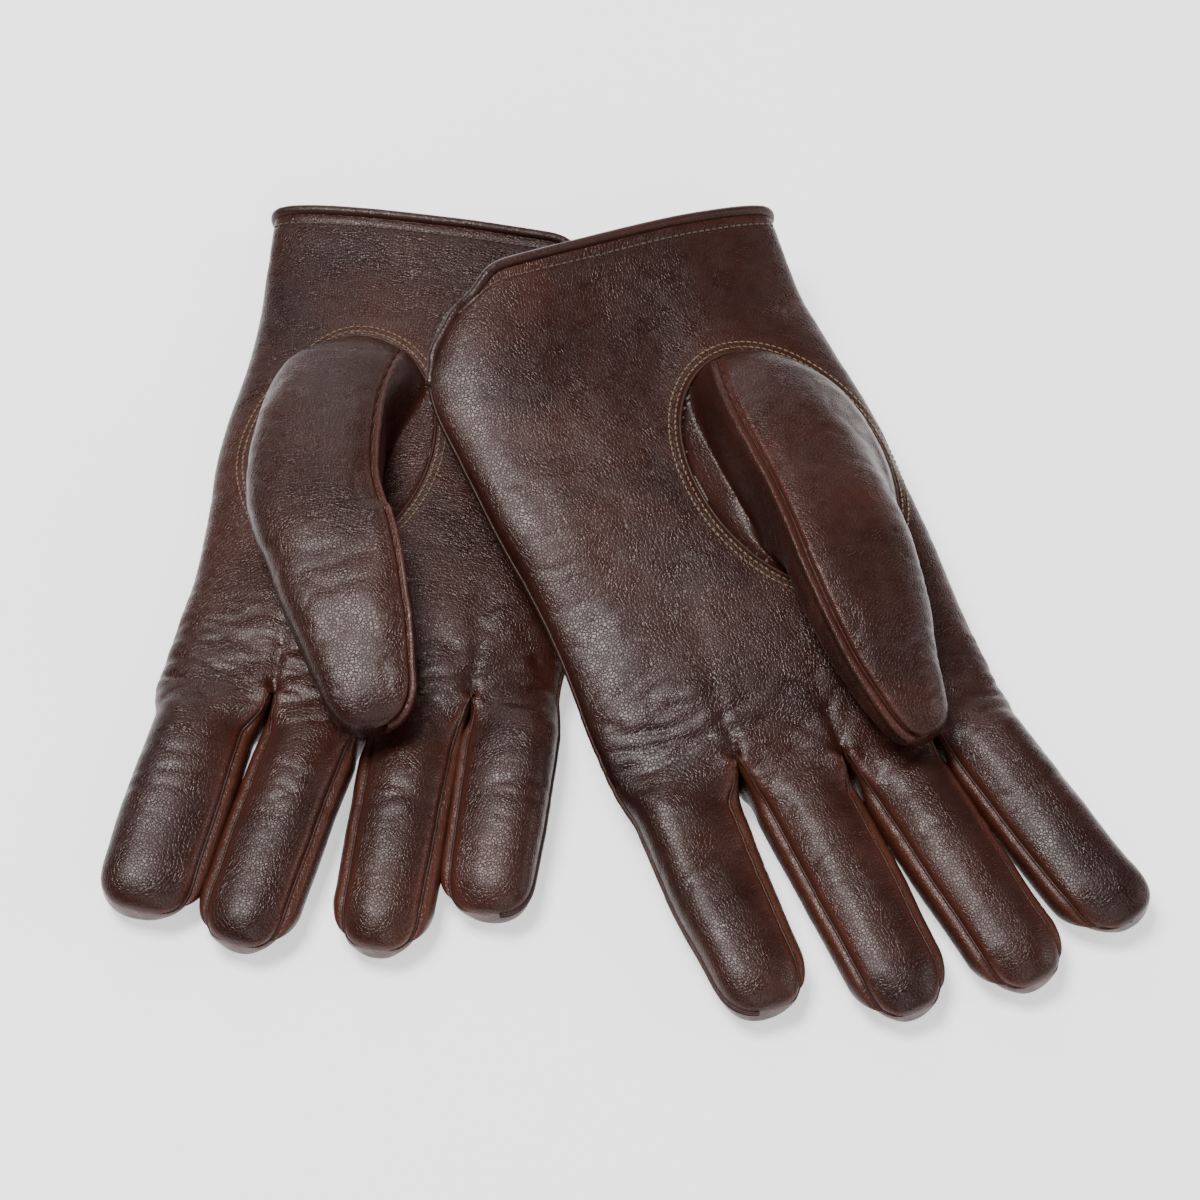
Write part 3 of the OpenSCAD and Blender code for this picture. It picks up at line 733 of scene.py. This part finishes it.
def build_cuff(g, hand_index, vent_rows, ts, W, LN):
    """The side seam along the hand, the rolled binding and the stitches below it."""
    side = SIDES[g]
    hand_body = side + "_hand"
    ids = hand_index[vent_rows:, 0]
    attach(thin_piece(f"{side}_hand_side_seam", side_seam(W[ids], LN[ids]), 0.2), hand_body)
    edge = np.concatenate([hand_index[0], hand_index[1:vent_rows + 1, -1], hand_index[vent_rows - 1:0:-1, 0]])
    path, up = W[edge], LN[edge]
    even = resample(path, 0.0009, True)
    near = np.array([int(np.argmin(((path - e) ** 2).sum(1))) for e in even])
    ups = up[near]
    for _ in range(6):
        even = 0.5 * even + 0.25 * (np.roll(even, 1, 0) + np.roll(even, -1, 0))
        ups = 0.5 * ups + 0.25 * (np.roll(ups, 1, 0) + np.roll(ups, -1, 0))
    roll = [tube(even, ROLL_R / 1000, 14, True, ups)]
    ob = thin_piece(f"{side}_cuff_roll", roll, 0.15, M_BINDING)
    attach(ob, hand_body)
    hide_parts(f"{side}_cuff_binding")
    srow = int(np.argmin(np.abs(ts - CUFF_STITCH_AT / HAND_LEN)))
    cols = np.arange(3, hand_index.shape[1] - 3)
    line, up = W[hand_index[srow, cols]], LN[hand_index[srow, cols]]
    p, q = stitches(line + up * 2 * PROUD, up, *CUFF_STITCH)
    ob = make_object(f"{side}_cuff_stitches", p, q, M_CUFF_THREAD)
    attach(ob, hand_body)
    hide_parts(f"{side}_cuff_stitching")


def build_thumb(g):
    """Gusset and sleeve as one surface, split where it bends."""
    side = SIDES[g]
    hand_body = side + "_hand"
    a = np.linspace(0, 2 * np.pi, TCOLS, endpoint=False)
    ss = np.linspace(0, 1, GROWS + 1)
    dd = 1 - (1 - np.linspace(0, 1, TROWS + 1)[1:]) ** 1.25
    dd[-1] = 0.9996
    rows = [gusset_row(g, float(s), a) for s in ss] + [thumb_row(g, float(d), a) for d in dd]
    # an extra row outside the hole, under the palm's leather
    first = rows[0].copy()
    first[:, 0] += 2.5 * np.cos(a)
    first[:, 1] -= 2.5 * np.sin(a)
    first[:, 2] = palm_z(g, first[:, 0], first[:, 1]) - 1.6
    rows = [first] + rows
    T = np.concatenate(rows)
    tidx = np.arange(len(T)).reshape(len(rows), TCOLS)
    tf = grid_faces(tidx, True)
    TN = normals_of(T, tf)
    if TN[tidx[GROWS // 2, TCOLS // 4], 2] < 0:
        TN = -TN
    deg = np.degrees(a)
    station = np.concatenate([[-0.02], ss, 1 + dd])
    seam_at = np.array([ridge_angle(g, min(max(k, 0), 1)) for k in station])
    off = (deg[None] - seam_at[:, None] + 180) % 360 - 180
    rings = T.reshape(len(rows), TCOLS, 3)
    radius = np.linalg.norm(rings - rings.mean(1)[:, None], axis=2)
    beyond = np.radians(off) * radius
    seam_mm = np.abs(beyond)
    begin = smooth((station - 0.03) / 0.2)[:, None]
    tr = -1.5 * np.exp(-((seam_mm / 0.85) ** 2)) * begin
    tr += 0.25 * np.exp(-(((beyond + 2.4) / 1.4) ** 2)) * begin
    tr += 1.0 * np.exp(-(((beyond - 3.1) / 1.9) ** 2)) * begin
    tr = tr.ravel()
    calm = mix(0.15, 1, smooth(station / 0.25)) * mix(1, 0.5, smooth((station - 1.7) / 0.25))
    calm = np.repeat(calm, TCOLS)
    tr += calm * (0.8 * noise(T / (24, 34, 24), 70 + g) + 0.35 * noise(T / (11, 16, 11), 71 + g)
                  - 0.25 * ridge(noise(T / (13, 7, 13), 72 + g), 3))
    T2 = T + TN * tr[:, None]
    TW = place(g, T2)
    TL = normals_of(TW, tf)
    if TL[tidx[GROWS // 2, TCOLS // 4], 2] < 0:
        TL = -TL
    probe = TW[tf[len(tf) // 4]]
    fn = np.cross(probe[2] - probe[0], probe[3] - probe[1])
    tflip = bool(fn @ TL[tf[len(tf) // 4]].mean(0) < 0)
    trest = T2 / 1000 + (0.5 * g, 0.3, 0)
    twear = np.clip(0.9 * np.exp(-((seam_mm - 1.6) / 1.3) ** 2) * begin, 0, 1).ravel() + 0.1
    split = GROWS + 1
    yaw = math.radians(THUMB_TURN[g])

    def world_thumb(out):
        x, y = HOLE_X[g] + THUMB_SHIFT[g] + out * math.sin(yaw), PIVOT_Y + out * math.cos(yaw)
        return place(g, [[x, y, over(g) + 10]])[0]

    tspan = (world_thumb(1.5), world_thumb(19))
    tspan[1][2] = tspan[0][2]
    for name, lo, hi in (("thumb_gusset_leather", 0, split), ("thumb_leather", split, len(rows) - 1)):
        faces = grid_faces(tidx[lo:hi + 1], True)
        got = take(TW, faces, trest, twear, TL)
        faces = [tuple(q) for q in got[1]]
        if hi == len(rows) - 1:
            faces.append(tuple(range(len(got[0]) - TCOLS, len(got[0]))))
        ob = make_object(f"{side}_{name}", got[0], faces, M_LEATHER,
                         {"rest": got[2], "wear": got[3]}, got[4], tflip)
        if lo == 0:
            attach(ob, hand_body)
            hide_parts(f"{side}_thumb_gusset")
        else:
            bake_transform(ob)
            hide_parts(f"{side}_thumb", f"{side}_thumb_lining")
    lo = int(0.1 * GROWS)
    line, up = [], []
    for k in range(lo, len(rows) - 1):
        c = (seam_at[k] / 360 * TCOLS) % TCOLS
        c0, f0 = int(c), c - int(c)
        line.append(mix(TW[tidx[k, c0]], TW[tidx[k, (c0 + 1) % TCOLS]], f0))
        up.append(mix(TL[tidx[k, c0]], TL[tidx[k, (c0 + 1) % TCOLS]], f0))
    line, up = np.array(line), np.array(up)
    r = THUMB_WELT_R * smooth(np.minimum(np.arange(len(line)) / 5, 1) + 0.1)
    ob = thin_piece(f"{side}_thumb_welt", [tube(line + up * PROUD, r, 8, False, up)], 0.4)
    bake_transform(ob)


def build_thumb_hole(g, hand_index, W, LN):
    """The palm's cut edge round the gusset, and two rows of stitches beside it."""
    side = SIDES[g]
    hand_body = side + "_hand"
    oa = np.linspace(0, 2 * np.pi, 260, endpoint=False)
    hand_top = hand_index[:, :4 * LANE + 1]
    htree = W[hand_top.ravel()]
    hnorm = LN[hand_top.ravel()]
    tree = KDTree(len(htree))
    for i, c in enumerate(htree):
        tree.insert((c[0], c[1], 0), i)
    tree.balance()

    def on_palm_line(grow):
        lx = HOLE_X[g] + (HOLE_W + grow) * np.cos(oa)
        ly = HOLE_Y - (HOLE_L + grow) * np.sin(oa)
        w = place(g, np.stack([lx, ly, palm_z(g, lx, ly)], 1))
        ups = []
        for i in range(len(w)):
            near = tree.find_n((w[i][0], w[i][1], 0), 4)
            wt = np.array([1 / (d + 1e-4) for _, _, d in near])
            ids = [j for _, j, _ in near]
            w[i][2] = (htree[ids, 2] * wt).sum() / wt.sum()
            nn = (hnorm[ids] * wt[:, None]).sum(0)
            ups.append(nn / np.linalg.norm(nn))
        ups = np.array(ups)
        z = w[:, 2]
        w[:, 2] = 0.5 * z + 0.25 * (np.roll(z, 1) + np.roll(z, -1))
        return w, ups

    w, ups = on_palm_line(0.25)
    edge = [tube(w, HOLE_EDGE_R, 8, True, ups)]
    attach(thin_piece(f"{side}_thumb_hole_edge", edge, 0.55), hand_body)
    rows_of = []
    for grow in THUMB_STITCH_AT:
        w, ups = on_palm_line(grow)
        rows_of.append(stitches(w + ups * PROUD, ups, *THUMB_STITCH, True, 0.12))
    p, q = join(rows_of)
    ob = make_object(f"{side}_thumb_stitches", p, q, M_THUMB_THREAD)
    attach(ob, hand_body)
    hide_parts(f"{side}_thumb_stitching")


def build_lining(g, hand_index, ts, P, W, LN, rest, flip_faces):
    """The knitted lining inside the hand."""
    side = SIDES[g]
    step_r, step_c = 3, 2
    HI = hand_index[::step_r, ::step_c]
    inset = np.interp(ts[::step_r], (0, 0.02, 1), (1.2, LINING_IN, LINING_IN)) / 1000
    L = W[HI] - LN[HI] * inset[:, None, None]
    lidx = np.arange(L.shape[0] * L.shape[1]).reshape(L.shape[:2])
    flat = P[HI].reshape(-1, 3)
    lq = grid_faces(lidx)
    mid_q = flat[lq].mean(1)
    inside = np.hypot((mid_q[:, 0] - HOLE_X[g]) / HOLE_W, (mid_q[:, 1] - HOLE_Y) / HOLE_L) < 1.0
    inside &= mid_q[:, 2] > hand_half_t(mid_q[:, 1] / HAND_LEN) + 0.5
    lf = [tuple(q) for q in lq[~inside]]
    end = lidx[-1]
    half = len(end) // 2
    for i in range(half):
        a, b, c, d = end[i], end[i + 1], end[len(end) - 2 - i], end[len(end) - 1 - i]
        lf.append((a, b, c, d) if b != c else (a, b, d))
    LP = L.reshape(-1, 3)
    ob = make_object(f"{side}_lining", LP, lf, M_LINING,
                     {"rest": rest[HI].reshape(-1, 3)}, None, not flip_faces)
    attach(ob, side + "_hand")
    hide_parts(f"{side}_hand_lining")


def build_glove(g):
    side = SIDES[g]
    hand_body = side + "_hand"
    total = 8 * LANE + 1
    ts = np.concatenate([np.linspace(0, 0.05, 12)[:-1], np.linspace(0.05, 1, ROWS - 11)])
    hand = np.stack([hand_row(g, t) for t in ts])
    nrow = len(ts)
    pts = [hand.reshape(-1, 3)]
    hand_index = np.arange(nrow * total).reshape(nrow, total)
    count = nrow * total
    vent_rows = int((ts < VENT_T).sum())
    hand_index[vent_rows:, -1] = hand_index[vent_rows:, 0]
    # the crotches: a column of points between palm and back, shared by the walls beside it
    crotch = {}
    last = hand_index[-1]
    for i in (1, 2, 3):
        v = np.arange(1, WALL) / WALL
        a, b = hand[-1][i * LANE], hand[-1][8 * LANE - i * LANE]
        col = mix(a, b, v[:, None]) + np.stack([0 * v, -1.6 * np.sin(np.pi * v), 0 * v], 1)
        crotch[i] = np.arange(count, count + len(v))
        pts.append(col)
        count += len(v)
    allp = np.concatenate(pts)
    fingers = {}
    for f in range(4):
        lane = 3 - f
        top = last[lane * LANE:(lane + 1) * LANE + 1]
        bottom = last[8 * LANE - (lane + 1) * LANE:8 * LANE - lane * LANE + 1]
        if f == 0:
            ring = np.concatenate([top, bottom[1:], crotch[3][::-1]])
        elif f == 3:
            ring = np.concatenate([top, crotch[1], bottom])
        else:
            ring = np.concatenate([top, crotch[lane + 1], bottom, crotch[lane][::-1]])
        length = finger_len(g, f) + FINGER_MORE
        s = np.linspace(0, 1, FROWS + 1)[1:]
        ds = length * (1 - (1 - s) ** 1.22)
        ds[-1] = length * 0.99995
        root = allp[ring]
        rows = [finger_row(g, f, d, root) for d in ds]
        m = len(ring)
        idx = np.arange(count, count + len(ds) * m).reshape(len(ds), m)
        pts.append(np.concatenate(rows))
        count += len(ds) * m
        full = np.concatenate([ring[None], idx])
        fingers[f] = {"index": full, "ds": np.concatenate([[0], ds]), "length": length, "m": m}
    P = np.concatenate(pts)
    # faces
    group = {"hand": grid_faces(hand_index)}
    for f, F in fingers.items():
        I = F["index"]
        if f == 0:
            panel = grid_faces(I[:, :2 * LANE + 1])
            wall = grid_faces(np.concatenate([I[:, 2 * LANE:], I[:, :1]], 1))
            F["seams"] = [(0, -1), (2 * LANE, -1)]
        elif f == 3:
            a = grid_faces(I[:, :LANE + 1])
            b = grid_faces(I[:, LANE + WALL:])
            panel = np.concatenate([a, b])
            wall = grid_faces(I[:, LANE:LANE + WALL + 1])
            F["seams"] = [(LANE, 1), (LANE + WALL, 1)]
        else:
            a = grid_faces(I[:, :LANE + 1])
            b = grid_faces(I[:, LANE + WALL:2 * LANE + WALL + 1])
            panel = np.concatenate([a, b])
            w1 = grid_faces(I[:, LANE:LANE + WALL + 1])
            w2 = grid_faces(np.concatenate([I[:, 2 * LANE + WALL:], I[:, :1]], 1))
            wall = np.concatenate([w1, w2])
            F["seams"] = [(LANE, 1), (LANE + WALL, 1), (2 * LANE + WALL, -1), (0, -1)]
        last_low = 2 * LANE + (0 if f == 0 else WALL)
        k = np.arange(LANE)
        cap = np.stack([I[-1, k], I[-1, k + 1], I[-1, last_low - k - 1], I[-1, last_low - k]], 1)
        group[f"panel{f}"] = panel
        group[f"wall{f}"] = wall
        group[f"cap{f}"] = cap
    everything = np.concatenate(list(group.values()))
    # weld the little finger's side seam, so that its two edges move as one
    twin = np.arange(len(P))
    I = fingers[3]["index"]
    twin[I[1:, -1]] = I[1:, 0]
    everything = twin[everything]
    for k in group:
        group[k] = twin[group[k]]
    N = normals_of(P, everything)
    N[I[1:, -1]] = N[I[1:, 0]]
    # ---- regions
    kd = np.full(len(P), 99.0)      # distance to the nearest finger seam
    along = np.full(len(P), -1.0)   # distance beyond the crotches
    cross = np.zeros(len(P))
    for f, F in fingers.items():
        I, ds = F["index"], F["ds"]
        along[I] = ds[:, None]
        for col, _ in F["seams"]:
            line = P[I[:, col]]
            dist = np.linalg.norm(P[I] - line[:, None], axis=2)
            kd[I] = np.minimum(kd[I], dist)
    hx, hy = P[:nrow * total, 0], P[:nrow * total, 1]
    hand_ids = np.arange(nrow * total)
    trow = np.repeat(ts, total)
    # creases lie across the fingers' bases and middles, and across the palm below them
    cross[hand_ids] = 0.12 + 0.7 * smooth((trow - 0.78) / 0.22)
    f_ids = along >= 0
    base_creases = 0.8 * np.exp(-((along[f_ids] - 6) / 11) ** 2)
    middle_creases = 0.75 * np.exp(-((along[f_ids] - 33) / 10) ** 2)
    cross[f_ids] = np.maximum(base_creases, middle_creases) + 0.12
    cross *= 0.35 + 0.65 * smooth(N[:, 2] * np.sign(N[hand_index[nrow // 2, 2 * LANE], 2]) / 0.6)
    loose = np.ones(len(P))
    loose[f_ids] = 0.5
    calm = np.ones(len(P))
    calm[f_ids] = mix(1, 0.45, smooth(along[f_ids] / 14))
    # the cuff's edge and the hole's edge keep their line
    calm[hand_ids] *= mix(0.25, 1, smooth(trow / 0.12))
    oval = np.hypot((hx - HOLE_X[g]) / HOLE_W, (hy - HOLE_Y) / HOLE_L)
    on_palm = P[hand_ids, 2] > hand_half_t(trow) + 0.5
    near_hole = np.where(on_palm, np.exp(-((oval - 1.05) / 0.14) ** 2), 0)
    calm[hand_ids] *= 1 - 0.75 * near_hole
    # the back lies on the ground
    under = np.clip(-N[:, 2], 0, 1)
    calm *= 1 - 0.8 * smooth((under - 0.5) / 0.4)
    relief = leather_relief(g, P, cross, loose, calm)
    # the row of stitches pulls the leather in below the binding
    relief[hand_ids] -= 0.4 * np.exp(-(((trow * HAND_LEN - CUFF_STITCH_AT) / 0.9) ** 2))
    # pulled-in seams, with the leather standing up beside them
    relief += -0.75 * np.exp(-((kd / 0.75) ** 2)) + 0.25 * np.exp(-(((kd - 2.6) / 1.6) ** 2)) * (kd < 50)
    # tucks that run back from the crotches, and broad hollows between the finger bases
    rx = root_x(g)
    for i in (1, 2, 3):
        cx, cy = rx[i], ROOT_Y[i]
        dx, dy = P[:, 0] - cx, cy - P[:, 1]
        for k, (angle, size, reach) in enumerate(((0.0, 1.1, 20), (0.62, 0.6, 13), (-0.66, 0.55, 14))):
            ang = angle + 0.12 * math.sin(7 * i + 3 * k + g)
            u = dy * math.cos(ang) + dx * math.sin(ang)
            v = dx * math.cos(ang) - dy * math.sin(ang)
            fall = np.exp(-np.clip(u, 0, None) / reach) * smooth((u + 3) / 3)
            top = smooth((P[:, 2] - 9.5) / 4)
            spread = 1.2 + 0.09 * np.clip(u, 0, None)
            relief -= size * fall * np.exp(-((v / spread) ** 2)) * top * (along < 1)
    # at the fingertips palm strip and back strip meet
    for F in fingers.values():
        relief[F["index"]] *= smooth((F["length"] - F["ds"]) / 2.5)[:, None]
    P2 = P + N * relief[:, None]
    P2[:, 2] = np.maximum(P2[:, 2], np.where(under > 0.5, 0.02, P2[:, 2]))
    wear = np.clip(0.9 * np.exp(-((kd - 1.6) / 1.4) ** 2) * (kd < 50), 0, 1)
    wear += 0.35 * np.exp(-((P[:, 2] - 8) / 5) ** 2) * (along > 5)
    wear[hand_ids] += 0.3 * near_hole * (oval > 1) + 0.3 * np.exp(-(trow / 0.02) ** 2)
    wear = np.clip(wear + 0.25 * cross * noise(P / (9, 4, 9), 5 + g), 0, 1)
    rest = P2 / 1000 + (0.5 * g, 0, 0)

    # ---- the thumb's hole: drop what is inside, pull the edge to the oval
    hf = group["hand"]
    centre = P[hf].mean(1)
    face_oval = np.hypot((centre[:, 0] - HOLE_X[g]) / HOLE_W, (centre[:, 1] - HOLE_Y) / HOLE_L)
    face_top = centre[:, 2] > hand_half_t(centre[:, 1] / root_y(g, centre[:, 0])) + 0.2
    keep = ~((face_oval < 1.0) & face_top)
    hf = hf[keep]
    edges = np.concatenate([hf[:, [0, 1]], hf[:, [1, 2]], hf[:, [2, 3]], hf[:, [3, 0]]])
    key = np.sort(edges, 1)
    uniq, cnt = np.unique(key, axis=0, return_counts=True)
    rim = np.unique(uniq[cnt == 1])
    rim = rim[(np.abs(np.hypot((P[rim, 0] - HOLE_X[g]) / HOLE_W, (P[rim, 1] - HOLE_Y) / HOLE_L) - 1) < 0.12)
              & (P[rim, 2] > 9)]
    a = np.arctan2((P2[rim, 1] - HOLE_Y) / HOLE_L, (P2[rim, 0] - HOLE_X[g]) / HOLE_W)
    P2[rim, 0] = HOLE_X[g] + HOLE_W * np.cos(a)
    P2[rim, 1] = HOLE_Y + HOLE_L * np.sin(a)
    P2[rim, 2] -= 0.35
    W = place(g, P2)
    group["hand"] = hf
    leather_faces = np.concatenate([group["hand"]] + [group[f"panel{f}"] for f in range(4)])
    # place() mirrors one glove, which turns its normals round
    LN = normals_of(W, leather_faces) * (1 if MIRRORED[g] < 0 else -1)
    probe = W[hf[len(hf) // 4]]
    fn = np.cross(probe[2] - probe[0], probe[3] - probe[1])
    want = LN[hf[len(hf) // 4]].mean(0)
    flip_faces = bool(fn @ want < 0)

    def piece(name, faces, material, norm=None):
        src = [W, faces, rest, wear] + ([norm] if norm is not None else [])
        got = take(*src[:2], *src[2:])
        ob = make_object(name, got[0], got[1], material, {"rest": got[2], "wear": got[3]},
                         got[4] if norm is not None else None, flip_faces)
        return ob

    hand_ob = piece(f"{side}_hand_leather", group["hand"], M_LEATHER, LN)
    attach(hand_ob, hand_body)
    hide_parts(f"{side}_trank", *[f"{side}_{f}_base" for f in FINGERS])

    def world_finger(f, d, z=12.0):
        yaw = math.radians(FINGER_YAW[g][f])
        x0, y0 = (rx[4 - f] + rx[3 - f]) / 2, (ROOT_Y[4 - f] + ROOT_Y[3 - f]) / 2
        return place(g, [[x0 + d * math.sin(yaw), y0 + d * math.cos(yaw), z]])[0]

    for f, F in fingers.items():
        span = (world_finger(f, BEND_AT - 11), world_finger(f, BEND_AT + 9))
        span[1][2] = span[0][2]
        ob = piece(f"{side}_{FINGERS[f]}_leather", group[f"panel{f}"], M_LEATHER, LN)
        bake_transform(ob)
        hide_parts(f"{side}_{FINGERS[f]}_tip", f"{side}_{FINGERS[f]}_tip_lining")
        wn = normals_of(W, group[f"wall{f}"])
        sample = group[f"wall{f}"][len(group[f"wall{f}"]) // 3]
        if (wn[sample[0]] @ (W[sample[0]] - W[F["index"][len(F["ds"]) // 3]].mean(0))) < 0:
            wn = -wn
        ob = piece(f"{side}_{FINGERS[f]}_fourchettes", np.concatenate([group[f"wall{f}"], group[f"cap{f}"]]),
                   M_WALL, None)
        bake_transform(ob)
        names = [f"{side}_{FINGERS[f]}_tip_fourchette"]
        if f < 3:
            names.append(f"{side}_{FINGERS[f]}_{FINGERS[f + 1]}_fourchette")
        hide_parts(*names)
        # the thin raised seams between the strips
        pieces = []
        for col, _ in F["seams"]:
            ids = F["index"][:-1, col]
            line, up = W[ids], LN[ids]
            ok = np.concatenate([[True], np.linalg.norm(np.diff(line, axis=0), axis=1) > 1e-5])
            line, up = line[ok], up[ok]
            step = np.arange(len(line))
            r = WELT_R * smooth(np.minimum(step / 3 + 0.35, 1))
            r = r * smooth((len(line) - 1 - step) / 12 + 0.08)
            pieces.append(tube(line + up * 0.00008, r, 8, False, up))
        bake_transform(thin_piece(f"{side}_{FINGERS[f]}_welts", pieces, 0.4))
        if f == 3:
            ids = F["index"][:-1, 0]
            ob = thin_piece(f"{side}_little_side_seam", side_seam(W[ids], LN[ids]), 0.2)
            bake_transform(ob)

    build_cuff(g, hand_index, vent_rows, ts, W, LN)
    build_thumb(g)
    build_thumb_hole(g, hand_index, W, LN)
    build_lining(g, hand_index, ts, P, W, LN, rest, flip_faces)
    print(side, "glove built")


for which in (0, 1):
    build_glove(which)


# ---------------------------------------------------------------- floor, camera and lights
def floor_material():
    m, nodes, links, shader = new_material("Pale_floor")
    at = nodes.new("ShaderNodeTexCoord").outputs["Object"]
    n = noise_node(nodes, links, at, 3, 2)
    base_colour(nodes, links, shader, n.outputs["Fac"], (0.0, (0.9,) * 3), (1.0, (0.915,) * 3))
    shader.inputs["Roughness"].default_value = 0.9
    shader.inputs["Specular IOR Level"].default_value = 0.1
    shader.inputs["Emission Color"].default_value = (1, 1, 1, 1)
    shader.inputs["Emission Strength"].default_value = 0.8
    return m


FLOOR_HALF = 4.0
floor = make_object("Floor", np.array([(-FLOOR_HALF, -FLOOR_HALF, 0), (FLOOR_HALF, -FLOOR_HALF, 0),
                                       (FLOOR_HALF, FLOOR_HALF, 0), (-FLOOR_HALF, FLOOR_HALF, 0)]),
                    [(0, 1, 2, 3)], floor_material())

CAMERA_ELEVATION = 57.0
CAMERA_AWAY = 1.3
CAMERA_TARGET = np.array((-0.0083, 0.001, 0.0))
camera = bpy.data.cameras.new("Camera")
camera.sensor_width = 36
camera.lens = 134.6
cam = bpy.data.objects.new("Camera", camera)
bpy.context.scene.collection.objects.link(cam)
e = math.radians(CAMERA_ELEVATION)
cam.location = CAMERA_TARGET + CAMERA_AWAY * np.array((0, -math.cos(e), math.sin(e)))
cam.rotation_euler = (math.pi / 2 - e, 0, 0)
bpy.context.scene.camera = cam


def area_light(name, at, size, power):
    """A soft light, facing the gloves."""
    light = bpy.data.lights.new(name, "AREA")
    light.shape = "RECTANGLE"
    light.size, light.size_y = size
    light.energy = power
    ob = bpy.data.objects.new(name, light)
    bpy.context.scene.collection.objects.link(ob)
    ob.location = at
    ob.rotation_euler = (-Vector(at)).to_track_quat("-Z", "Y").to_euler()


area_light("Key", (-0.55, 0.2, 1.9), (0.8, 0.8), 62)
area_light("Back", (-0.3, 2.0, 1.2), (0.9, 0.7), 9)
area_light("Front", (0.5, -1.6, 1.5), (1.3, 1.3), 20)
area_light("Side", (2.0, 0.1, 1.0), (0.9, 0.9), 14)
world = bpy.data.worlds.new("World")
world.use_nodes = True
world.node_tree.nodes["Background"].inputs[0].default_value = (0.95, 0.97, 1.0, 1)
world.node_tree.nodes["Background"].inputs[1].default_value = 0.25
bpy.context.scene.world = world
